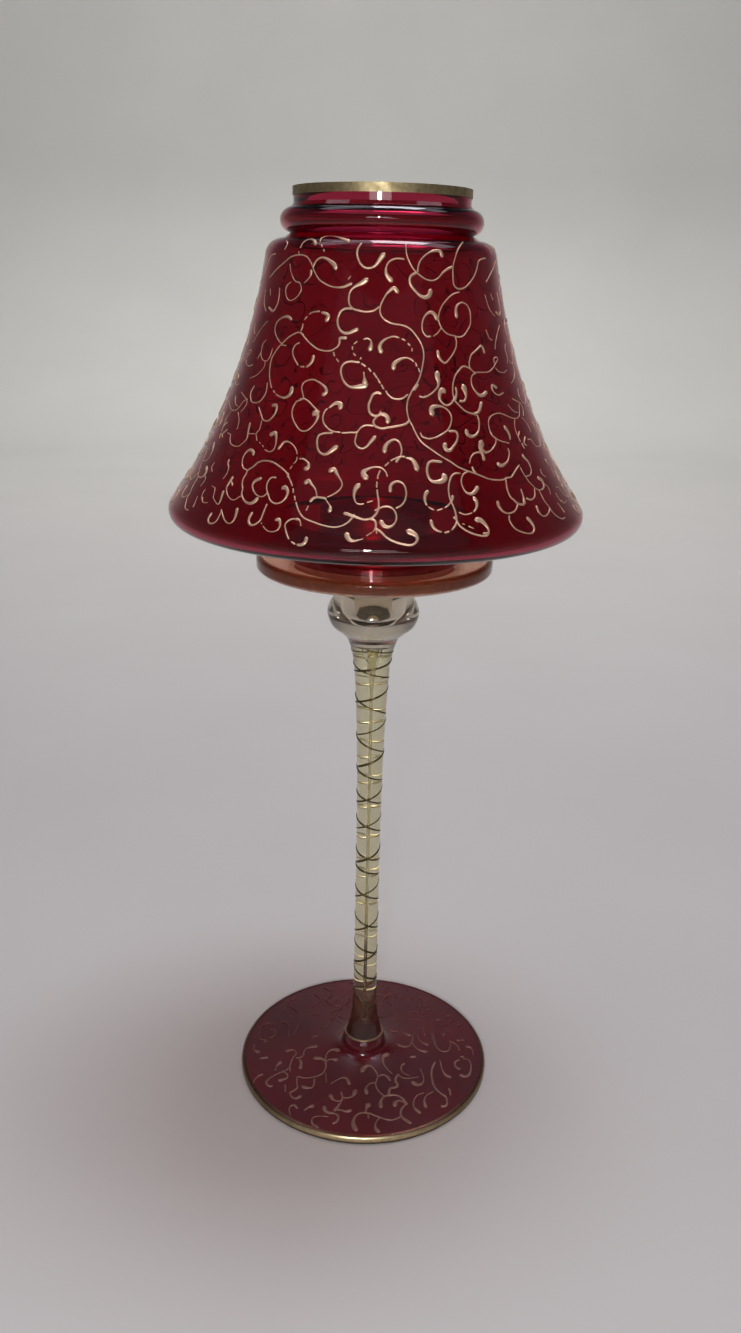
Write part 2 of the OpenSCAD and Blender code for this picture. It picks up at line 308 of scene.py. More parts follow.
# Gold, wax and metal
def gilded(name, worn, full, metallic, smooth, rough, grain):
    material, tree, shader, output = new_material(name)
    surface = place_group(tree, "gilding", gilding, {"Worn": worn, "Full": full}, {"Smooth": smooth, "Rough": rough})
    tree.links.new(surface["Colour"], shader.inputs["Base Color"])
    tree.links.new(surface["Roughness"], shader.inputs["Roughness"])
    shader.inputs["Metallic"].default_value = metallic
    bump(tree, shader, surface["Grain"], grain * MM, 0.5)
    return material


def gold_enamel():
    """Burnished gold of the band round the mouth."""
    return gilded("gold_enamel", (0.21, 0.165, 0.085), (0.37, 0.3, 0.17), 0.95, 0.45, 0.58, 0.04)


def edge_gold():
    """Thin gold round the foot's edge with painted shade: bright in front and dull elsewhere, darkened along its lowest
    part as painted contact shade, and darker along its top.
    """
    material, tree, shader, output = new_material("edge_gold")
    given = {"Worn": (0.46, 0.36, 0.2), "Full": (0.74, 0.6, 0.36)}
    surface = place_group(tree, "gilding", gilding, given, {"Smooth": 0.26, "Rough": 0.4})
    parts = add(tree, "ShaderNodeSeparateXYZ", {0: object_place(tree)})
    # Painted shade: away from the front arc the gold turns dull dark brown, standing for less light falling there
    dull = remap(tree, parts.outputs["Y"], -48 * MM, -34 * MM, 0, 1)
    kept = blend_colours(tree, dull, surface["Colour"], (0.24, 0.18, 0.1))
    # Painted contact shade along the lowest part of the edge and a darker band along its top; the gold stays only
    # between them
    above = remap(tree, parts.outputs["Z"], 0.9 * MM, 1.6 * MM, 0, 1)
    below = remap(tree, parts.outputs["Z"], 2.8 * MM, 3.15 * MM, 1, 0)
    gilt = add(tree, "ShaderNodeMath", {0: above, 1: below}, operation="MULTIPLY").outputs[0]
    tree.links.new(blend_colours(tree, gilt, (0.12, 0.06, 0.04), kept), shader.inputs["Base Color"])
    tree.links.new(surface["Roughness"], shader.inputs["Roughness"])
    shader.inputs["Metallic"].default_value = 0.9
    bump(tree, shader, surface["Grain"], 0.04 * MM, 0.5)
    return material


def line_gold():
    """Dark olive gold of the lines wound round the stem; the dark is painted shade, standing for gold that mirrors a
    dark room.
    """
    return gilded("line_gold", (0.05, 0.038, 0.012), (0.12, 0.09, 0.03), 0.8, 0.2, 0.32, 0.03)


def line_underside():
    """The same gold where it lies on the glass, bright as it was fired."""
    return gilded("line_underside", (0.8, 0.7, 0.45), (0.95, 0.88, 0.66), 1.0, 0.28, 0.36, 0.03)


def ring_gold():
    """Dull tan gold of the ring at the foot of the stem."""
    return gilded("ring_gold", (0.2, 0.14, 0.08), (0.36, 0.26, 0.15), 0.7, 0.35, 0.5, 0.04)


def bell_gold():
    """Matt raised gold of the bell's scrollwork."""
    return gilded("bell_gold", (0.4, 0.25, 0.17), (0.68, 0.48, 0.32), 0.7, 0.36, 0.52, 0.06)


def foot_gold():
    """Thin dull gold of the foot's scrollwork, fading into the foot's dark colour on its back half as painted shade."""
    material, tree, shader, output = new_material("foot_gold")
    given = {"Worn": (0.16, 0.08, 0.062), "Full": (0.26, 0.14, 0.105)}
    surface = place_group(tree, "gilding", gilding, given, {"Smooth": 0.45, "Rough": 0.62})
    # Painted shade: toward the back the strokes take the disc's colour and roughness
    back = add(tree, "ShaderNodeSeparateXYZ", {0: object_place(tree)}).outputs["Y"]
    worn = remap(tree, back, -8 * MM, 14 * MM, 0, 1)
    colour = blend_colours(tree, worn, surface["Colour"], (0.1, 0.014, 0.016))
    tree.links.new(colour, shader.inputs["Base Color"])
    rough = add(tree, "ShaderNodeMix", {"Factor": worn, "A": surface["Roughness"]}, {"B": 0.33}, data_type="FLOAT")
    tree.links.new(rough.outputs[0], shader.inputs["Roughness"])
    shader.inputs["Metallic"].default_value = 0.3
    bump(tree, shader, surface["Grain"], 0.05 * MM, 0.5)
    return material


def candle_wax():
    """Dark red wax."""
    material, tree, shader, output = new_material("candle_wax")
    place = object_place(tree)
    clouds = noise(tree, place, 90, 4, 0.6)
    colour = blend_colours(tree, clouds, (0.1, 0.008, 0.012), (0.15, 0.014, 0.02))
    tree.links.new(colour, shader.inputs["Base Color"])
    tree.links.new(remap(tree, clouds, 0.3, 0.7, 0.35, 0.5), shader.inputs["Roughness"])
    shader.inputs["Subsurface Weight"].default_value = 0.15
    shader.inputs["Subsurface Scale"].default_value = 2 * MM
    bump(tree, shader, noise(tree, place, 160, 3), 0.15 * MM, 0.5)
    return material


def cup_aluminium():
    material, tree, shader, output = new_material("cup_aluminium")
    place = object_place(tree)
    rolled = add(tree, "ShaderNodeMapping", {"Vector": place}, {"Scale": (1, 1, 14)})
    lines = noise(tree, rolled.outputs["Vector"], 220, 3)
    colour = blend_colours(tree, lines, (0.72, 0.73, 0.74), (0.86, 0.87, 0.88))
    tree.links.new(colour, shader.inputs["Base Color"])
    shader.inputs["Metallic"].default_value = 1
    tree.links.new(remap(tree, lines, 0.3, 0.7, 0.26, 0.4), shader.inputs["Roughness"])
    bump(tree, shader, lines, 0.03 * MM, 0.5)
    return material


def wick_cotton():
    material, tree, shader, output = new_material("wick_cotton")
    place = object_place(tree)
    twist = add(tree, "ShaderNodeTexWave", {"Vector": place}, {"Scale": 500, "Distortion": 1.5, "Detail": 2})
    colour = blend_colours(tree, twist.outputs["Fac"], (0.72, 0.69, 0.6), (0.9, 0.88, 0.8))
    tree.links.new(colour, shader.inputs["Base Color"])
    shader.inputs["Roughness"].default_value = 0.9
    bump(tree, shader, twist.outputs["Fac"], 0.1 * MM, 0.8)
    return material


def tab_tin():
    material, tree, shader, output = new_material("tab_tin")
    place = object_place(tree)
    spots = noise(tree, place, 400, 4)
    tree.links.new(blend_colours(tree, spots, (0.55, 0.56, 0.57), (0.75, 0.76, 0.77)), shader.inputs["Base Color"])
    shader.inputs["Metallic"].default_value = 1
    tree.links.new(remap(tree, spots, 0.3, 0.7, 0.3, 0.45), shader.inputs["Roughness"])
    return material


FINISHES = {
    "ruby_glass": (ruby_glass, ["shade_glass"]),
    "ruby_satin_glass": (satin_ruby_glass, ["foot"]),
    "clear_glass": (clear_glass, ["stem", "knop"]),
    "amber_glass": (amber_glass, ["dish_amber_rim"]),
    "gold_enamel": (gold_enamel, [
        "foot_gold_edge",
        "foot_gold_scrolls",
        "stem_gold_line_right",
        "stem_gold_line_left",
        "stem_gold_ring",
        "shade_gold_band",
        "shade_gold_scrolls",
    ]),
    "cup_aluminium": (cup_aluminium, ["tealight_cup"]),
    "candle_wax": (candle_wax, ["wax"]),
    "wick_cotton": (wick_cotton, ["wick"]),
    "tab_tin": (tab_tin, ["wick_tab"]),
}


def finish_node(name, material):
    nodes[name].data.materials.clear()
    nodes[name].data.materials.append(material)


def finish_nodes():
    for slot, (make, names) in FINISHES.items():
        material = make()
        for name in names:
            finish_node(name, material)
    finish_node("dish", tint_and_shade_dish_glass())
    finish_node("knop", knop_glass())
    finish_node("foot_gold_edge", edge_gold())
    finish_node("stem_gold_ring", ring_gold())


# Gold strokes on the bell, read in the photograph: half width at each end, then points in pixels
BELL_MIDDLE = [
    (1.2, 2.7, "361.3,243.5 358,248.3 357.1,254 358.8,260.5 361.5,265 365.5,267.8 370,268 374.5,266.2 378,262.5 "
     "381,258 383.7,254.6"),
    (1.1, 2.7, "379,307 375,310 370,311.5 364.2,311.7 358.5,310.5 353.5,309 350.3,306 348.8,302 348.8,297 350,292 "
     "352.5,288.5 357,285.5 362.3,283 366.7,279.7"),
    (1.3, 2, "351.5,308.7 346,308.5 341.3,310.8 338.8,315 337.5,320 338,325.5 340.3,330.5 344,333 349,333 353,331.3 "
     "357.3,329.5"),
    (1.2, 3, "359.2,362.3 355.4,362 350.8,361.5 345.4,362.7 342,366 340.8,370.8 341.5,376 343.8,381.5 347.7,385.8 "
     "352.3,387.3 357.7,387 363,386.2 366,385.2"),
    (1, 3, "363.8,372.3 364.2,377 364.8,383"),
    (1.4, 2.6, "380.8,393.8 377,392.7 373,394.6 370.8,399.2 368.8,404.6 368.8,409.2 370,413 373,415.4 377,415.8 "
     "380.8,414.2 385.4,415.4 387.7,418.5 387.7,422"),
    (0.9, 1.1, "379.6,414.4 380.5,411.5"),
    (1, 2, "373.5,425.8 370,425.4 365.4,425.4 361.5,427 358.8,430 357,433 355.8,437 355,441.5 356.2,445.4 359.2,448 "
     "363,448.5 367,446.2 370,442.7 373,439.2 375,437"),
    (1, 3.2, "387.3,476.2 385.4,471.5 381.5,468 377,467 371.5,467.7 366.2,470 363,472.5 364.2,475.5 366.3,478"),
    (0.9, 2.8, "372.4,501 370,501.6 367.4,502.5 | 363.6,503.8 360.2,504.2 357,503.5 355,500.8 354,496.2 354.6,491.5 "
     "356,488 358.6,485"),
    (0.8, 2.9, "371.9,532.5 369.2,534 366.5,535.8 | 363,538.8 360,539.6 356.5,540.6 352.7,541 349.4,539.8 347.4,536.9 "
     "346.6,534"),
]
BELL_TOP = [
    (0.9, 1.9, "300.4,247.5 302.9,242.9 306.7,240 310.8,239.2 314.2,240.5 315.5,244.3"),
    (0.8, 0.8, "298.8,251.5 298.8,255.5"),
    (0.8, 1, "284.6,249.6 286,247 287.5,243.3 286.5,240.8"),
    (0.9, 1.6, "270,277 276.7,269.2 284.2,262.5 290,257.5 295,255.4 301.7,254.8 306.7,256.7 310,260.8 312.3,265.6 "
     "313.8,270 316.7,275.8 320,280.4 325.8,284.2 331,286.4 337.5,287.5 343.3,287 347.5,285.4 351.3,283.8"),
    (1.1, 2.5, "313,268 314.2,264.2 316.3,260.8 319.2,258.3 322.5,257.5 326.7,258.8 330.8,261.7 334.3,264.8 335.8,268.3"),
    (0.9, 2.1, "324.3,251.4 323.4,249.4 | 322.2,246.8 321.3,244.8 | 320.2,241.5 321.5,238.2 325,236.7 330.8,236 "
     "337.5,237 343.3,238.9 348.8,241"),
    (0.8, 0.8, "290,264 290.8,270.8 292.9,277.5 295.8,281.5 299.5,282.8 301.3,287.5 300.4,291.7 297.5,296.3 "
     "293.3,299.6 290,300.4 287.1,298.3 285.8,293.3 285.8,289.2 287.5,285 290.8,282.1"),
    (0.8, 1.7, "304.2,283 308.3,278.8 310.8,275 311.2,270.8"),
    (0.9, 1.4, "279.6,288.3 279,297 277,305 273,311 269,307.5"),
    (0.8, 0.8, "270.4,289 270.4,295"),
    (0.9, 2.2, "301,331 302.5,327 303,324 | 304.8,319.5 306.7,316.8 | 309.5,314 313.3,312.1 319.2,311.4 | 322,312.5 "
     "326,313.8 328.5,316.5 326.5,320.5"),
    (0.8, 1.6, "281.3,343.3 279,341 276.5,336.5 275,331 275.3,326.5 277,322.3 280.3,318.9 284.3,316.9 288.3,316.9 "
     "291.3,319.3"),
    (0.8, 0.8, "348.3,279.2 350.4,276.3"),
    (1, 2.6, "404,259.3 400,258.6 395.5,258.7 391,260.3 387.7,263.6 386,268.6 386.3,274 388.5,278 391.5,280.7"),
    (0.9, 1.4, "405.8,243.7 406.5,253 408,258.3 410.4,263.7 413,268.3 415.4,271.4 417.3,273 420.8,276 425.4,279 "
     "430.8,280.6 435.4,279.8 439.2,277 443,272.5 447.7,269 452,267"),
    (1, 2.1, "417.7,271.4 418.5,265.2 420.8,259.8 425.4,255.2 430.8,251.8 437,250.6 440.4,251.8 442,256"),
    (1.4, 2.6, "416.5,273 412.3,274.8 410,278 410,283 412.3,287.5 416.2,292 420.8,296 425.4,297.5 429.2,295.2 "
     "430.4,290.6"),
    (0.9, 0.9, "463,242 460,246 457,252 454.6,259.8 453,266.8 453,276 453.8,284.5 457,288.3 460.8,289 465.4,287.2 "
     "470.8,281.4 474.6,275.2 477,268.3 478.5,261.4 481.5,259 485.4,258.3"),
    (0.9, 2, "459.2,292.2 453.8,293.7 449.2,297.2 444.6,302.2 441.5,306.8 439.2,313 438.5,319.8 441.2,327.3 "
     "445.4,332.3 449.2,334.6 453.8,335.8 459.2,337 463.8,335.4 467.7,330 470.4,323.8 470.5,317 470,311.4 467,305.2 "
     "462.3,302.5 457.7,304.8 455.8,309.8 456.5,316.8"),
    (1, 2.3, "430.8,336.5 427,336.5 423.5,332.7 422,327 423,319.8 426.2,314.5 430.8,312.2 434.6,314.5 437,319"),
    (0.8, 0.8, "433.5,336.2 437.7,333 440.8,328.5"),
    (0.8, 0.8, "485,295 487,302 489.5,309 494.5,316"),
]
BELL_VINE = [
    (2.4, 1, "397.3,292 394,288.2 389.1,291.4 385.9,295 382.7,300.5 380.5,305.9 380,311.4 381.4,315.9 384.5,319.5 "
     "389.1,322.3 394.5,324.1 400.9,325 406.4,326.6 411.5,330 416.3,335.8 420.5,342.2 422.9,348.5 423.8,355 423.2,362 "
     "421.7,370 419.6,377.5 417,383.3 413.3,388.5 410.4,394.2 407.9,400 406.9,406.7 407.3,413 409.2,420 412.3,425.5 "
     "416.3,434 420,440 424.6,444.6 430,448.5 435.4,452.3 440.8,456 446.2,459.2 451.5,462.3 457,466.2 463.1,469.2 "
     "469.2,471.5 475.4,473.5 482.3,476.3 489.2,479 497.3,480 503.5,479.6 506.5,478 511.2,477 513.5,473.8 516.5,468.8 "
     "519.3,465.2"),
    (1.8, 1.2, "413.8,389.6 416.5,387 418,384.6"),
    (1, 2.5, "412,351 412,348.5 | 410,345.5 408,343.5 | 405,340.5 402,339 | 398.8,337.7 393.8,336.5 388.5,337.7 "
     "383.8,340.4 380.8,343.8 379.6,347.7 381.2,352"),
    (1, 2.6, "419.5,371.5 418.5,368.5 | 417,366 415.5,363 | 413.5,361.5 412,360 407.7,358 402.3,358.5 397.7,360.8 "
     "394.2,363.8 393.5,368.5"),
    (1, 3, "419.6,396.5 424.6,397.3 430,394.6 434.6,390.8 438,386.5 438.5,381.5 437.3,377 437.3,373"),
    (1, 2.6, "363.8,339.2 367.7,338.5 370.8,340.8 371.2,345.4 370,349.6"),
    (1.1, 1.1, "361.5,363.8 365.4,366.2 | 368.5,368.5 370.8,371.2 | 373.5,373 377,378 | 378,379.2 380,383 | "
     "381.5,385 383.5,388.8 | 385.8,391.2 388.5,395 392.3,398 397,399.2 402.3,398.5 407.7,394.6"),
    (0.9, 0.9, "357,341.5 354,344 | 352.5,346.5 352.5,349.5 | 353.5,353.5 355.5,355.5 | 360,359 361,357.5"),
    (1.3, 1.3, "376.2,417.3 373.8,420.4 373.5,423 375.4,426.2 379.2,428 383,428.5 387.7,427.7 390.8,427.3 395.4,426.5 "
     "401.5,425.4 406.2,423.7 409.2,420.8"),
    (1.1, 2.6, "400.4,456.2 401.5,452.3 401.5,448.5 400.4,444.6 398.5,441.2 394.6,439.6 390,441.5 387,444.2 "
     "385,447.7 384.6,451.5"),
    (1, 3, "385,465.8 388.5,463 | 390.8,460.8 394.6,458.8 398.5,457.3 403,456.5 405,457.3 | 406.5,458 410.8,458.8 "
     "413.8,461.5 415.8,465.4 417,469.2"),
    (1.4, 1.6, "400,457 396.3,461.5"),
    (3, 1, "432.3,414.2 431.2,410 433,407 438.5,406.2 443,407 447.7,410 450.8,414.6 451.5,420 450,426.2 447,430.8 "
     "441.5,434.6 436.2,437.3 430,438.8 425.4,438 422.3,436.5 420.4,433"),
    (1.3, 2.5, "449.2,431.2 454.6,431.2 457,433 457.7,437 456.2,442.3 453,447 450,450.4 446.2,449.6 444.6,446.2 "
     "445.4,444.2"),
    (1.5, 3.3, "441.5,462 437,461.5 432.3,461.2 428.8,463 427.3,467 427,471.5 428.5,477 431.5,480.8 436.2,482 "
     "441.5,481.2 444.6,478.5 443.8,475.4"),
    (1.1, 1.2, "380,470.8 378,475.8 377.7,478.5 | 377,482.3 376.7,487 | 377.1,490 377.7,495.4 378.5,500.8 378.7,506"),
    (1.3, 1.9, "378.7,506 378.4,509 376.9,512.7 374,516.3 370.4,518.8 365.8,519.6 361.9,519.2 358,518 354.2,516.5 "
     "350.4,515.3 346.8,513.9 344.3,513.5"),
    (1.1, 2.6, "375,510.5 377.5,509.2 380.5,507.7 383.8,506.8 387.5,506.5 391.2,507.7 394.2,510.4 396.2,514.6 "
     "396.4,518.5 395.4,522 393.2,525 390,526.9 386.5,527 383.2,525.3 381,521.5"),
    (1.3, 3.3, "370.8,519.2 374.2,520.2 375.9,523.8 375.7,527 376.2,529 378.5,530.2 381.9,533 385.8,536.9 390.4,540 "
     "395.4,542.1 400.4,543.7 405.8,544.8 410.4,545.3 414.2,544 416.8,541.2 417.2,537.7 415.2,534.8 412,532.8 "
     "408.3,531.3"),
    (1.4, 0.9, "375.8,528.5 376.6,533.2"),
    (1.2, 0.8, "375.5,528 373.3,531.5"),
    (1.1, 2, "396.2,508 400.2,506.2 403.5,503 405.3,499.2 406.2,494.6 405.9,490 404.5,485.8 401.9,482.7 398,481.5 "
     "394.2,482.3 391.2,484.8 390.2,488 390.4,491.2"),
]
BELL_RIGHT = [
    (0.9, 1.8, "455.4,337.3 456.5,341.5 455.8,347.7 453,353.8 449.2,359.2 445.4,363 441.5,360.8 438.5,356.2 "
     "437.7,351.5"),
    (1.1, 2.8, "453.8,400 450.8,403.8 447,405.4 443,403.5 440,399.2 439.6,393.8 442,390 444.2,391.5"),
    (1, 2, "470.8,369.2 467,367 463,366.5 459.2,370 455.4,375.4 453.5,381.5 452.7,387.7 453,393.8 454.6,400 457,403 "
     "461.5,407.7 466.2,411.5 471.5,413.5 475.4,413.8 479.2,410.8 480.8,404.6 481.5,403"),
    (1.6, 1.4, "475.2,413 475.8,415"),
    (1.2, 1.8, "455.8,387.7 456.5,391.5 456.2,395.4 455,399.2"),
    (1.3, 3.4, "460,401.3 464,401 466,397 465,391 463.4,386.5"),
    (0.9, 1.5, "475,373 470.8,369.2 469.2,364.6 469.6,360 471.5,354.6 475.4,350.8 479.2,347.3 480.8,345.8 483,348.5 "
     "484.2,352.7"),
    (0.8, 0.8, "474.6,372.3 481.5,372.3 487.7,372 491.5,369.6 494.2,366 495.8,363 497.7,359.2 496.2,357 493.8,358.5 "
     "494.2,363"),
    (0.7, 0.7, "507,356 507.5,363"),
    (0.9, 2.2, "475.8,373 472.3,375.4 471.2,380 472,385.4 475,390.8 479.2,395 483,395 486.2,392.3"),
    (0.9, 1.7, "503.3,392.7 499.2,395 494.6,393 492,388.5 492.3,385.2 496.2,387.7"),
    (0.8, 0.8, "486,330 487.5,334 489.5,338.5 492,340"),
    (0.7, 0.7, "495,349 495.5,343 496.5,337 498,331 499.5,325.5"),
    (0.7, 0.7, "495.5,368 499,371.5 504,372.5 506.5,370"),
    (1.1, 2.3, "477.3,415.4 478.8,420 479.2,425.4 478.5,430.8 475.8,435 471.5,436.5 467.7,434.6 466.2,430.8"),
    (0.9, 3.6, "495.8,439.2 495.8,443 493.5,447.3 490.4,450.8 486.3,452.3 482.5,450.8 480.8,447.7 481.5,442.5"),
    (0.9, 2, "469.6,463 470.8,457.7 473.8,453.8 478.5,452.3 481.5,453 483.5,457 483.8,459.6"),
    (1.3, 1.5, "472.3,467.5 473.8,470.8 475.4,472.7"),
    (1, 2.4, "468,471.5 463.8,473.8 461.5,478.5 461.5,483 463,487.7 466.3,492.3 471,494 475,491.5 477.5,487.4"),
    (1.1, 1.3, "460,473.4 455.4,473.4 451.9,475.8 450,480 448.8,485.4 448.6,490.8 449.4,496.2 450.8,501 452.6,504.5 "
     "454,508 455.3,512 456.2,516.5 456.8,521"),
    (1.4, 1.8, "451.4,502 452.4,499 452.6,496.4"),
    (1.4, 1.6, "456.4,519 454,517.5"),
    (1, 2.2, "450.4,502.8 448,505.8 445,507.6 | 442.3,508.9 437.4,510.4 | 433.8,509.8 431,508.6 428.6,507 | "
     "426.8,505 425.2,501.5 424.8,497.7 425.6,494.4 427.6,491.4"),
    (1.1, 2, "456.8,522 455.4,525.4 453.4,528.2 451.9,529.8 | 449.2,531.6 445,532.7 | 441.4,532 438,531 434.4,528.5 "
     "432,524.8 431,520.8"),
    (1.2, 3.1, "456.8,521 459.6,525.4 463.5,528.8 468,531.5 473.5,533.9 478.8,535.4 483.5,536 487.2,535.6 488.7,532.6 "
     "488.2,529 486,525.4 482.9,522 479.6,519.9 476.6,519.8"),
    (1.9, 1.4, "487.6,533.8 483.6,533.4"),
    (0.9, 2.2, "459.4,512.4 464,514.4 468,514.2 471.9,512.9 | 473.8,511.8 475.8,509.2 476.9,505.4 476.3,501.2 474,498"),
    (0.9, 0.9, "462.6,523.6 464.6,524.6 | 468.8,526.4 473.6,528.4"),
    (1.2, 0.8, "496.2,438.8 492.3,435.4 489.6,430 488.5,424.6 488.8,420 491.5,415.8 496.5,413.5 501.2,413.5 "
     "505.8,415.4 510.4,417.3 514.2,418.5 517.3,418 519.2,415.8 519.6,411.5 519.2,406 520.4,402.3"),
    (0.7, 0.7, "508,404.6 511.2,408.8 515,412 518,412.3"),
    (0.9, 2, "496.2,438.8 501.2,441.2 505.8,442.3 508.8,443 | 510,439.2 509.6,435.4 507.3,430.8 504.6,427"),
    (0.9, 2.2, "508,448.5 509.2,452.3 508.8,457 507.3,461.5 503.5,465 500.4,465.4 498,463.8"),
    (0.8, 0.8, "514.6,420 514.6,425.4 515.8,430.8 518,436.2 520.4,441.5"),
    (1.1, 1.1, "525,437 524.2,443 526.5,445.4"),
    (1.8, 0.8, "522.7,455.4 524.2,457.7 527.3,460.8 529.6,464.6 531.2,470 530.4,474.6 525.8,476.5"),
    (0.8, 2, "520.4,467.7 522.7,472.3 525.8,477 528.8,481.5 532.7,485.4 535.8,488.5 539.6,490 543,488.5 543.8,484.6 "
     "542,480.8 538,477.7"),
    (0.7, 0.7, "540.4,469.2 542,473.8 545.8,477"),
    (1.1, 1.4, "505.8,480 506.5,484.6 507,488.5 508.5,493 510.8,497.4 513.6,499.6 516.5,502.6 520,504.4 523.8,504.4"),
    (1, 2.2, "521,489.5 522.3,493.5 523.6,498 524.3,503"),
    (0.9, 1.3, "534.4,488.6 534.8,492.3 534.8,496.2 533,498.8 530,499.6 526.6,498.4"),
    (0.8, 0.9, "538.8,490 540.8,493.8 542.7,497.7 545.4,502.3 548.6,506 551.5,510.8 554.6,514.2 558.5,517.3 "
     "562.3,518.8 564.8,517.6"),
    (0.9, 1.7, "549.6,507.5 549.2,511.5 546.9,515 543.8,516.2 540.8,514.6 538,510.8 536.5,506.5"),
    (0.7, 0.7, "555.8,493 558,497.6 561,501.6"),
    (0.7, 1.1, "557.8,503 561,507.2 564.3,512"),
    (1, 2, "517.6,504.5 516.3,508.8 514.2,511.5 510.8,513 506.9,513.2 503,511.4 500.4,508.6 498.4,505.4 497.8,502"),
    (1, 2.1, "509.4,516 509.2,519.2 510.8,523 513.5,526.9 516.9,529.8 521.5,531.9 526.2,533.2 530,533.5 533,532.3 "
     "534.2,529.2 533.2,525.4 530.6,521.6 527.4,518.2"),
]
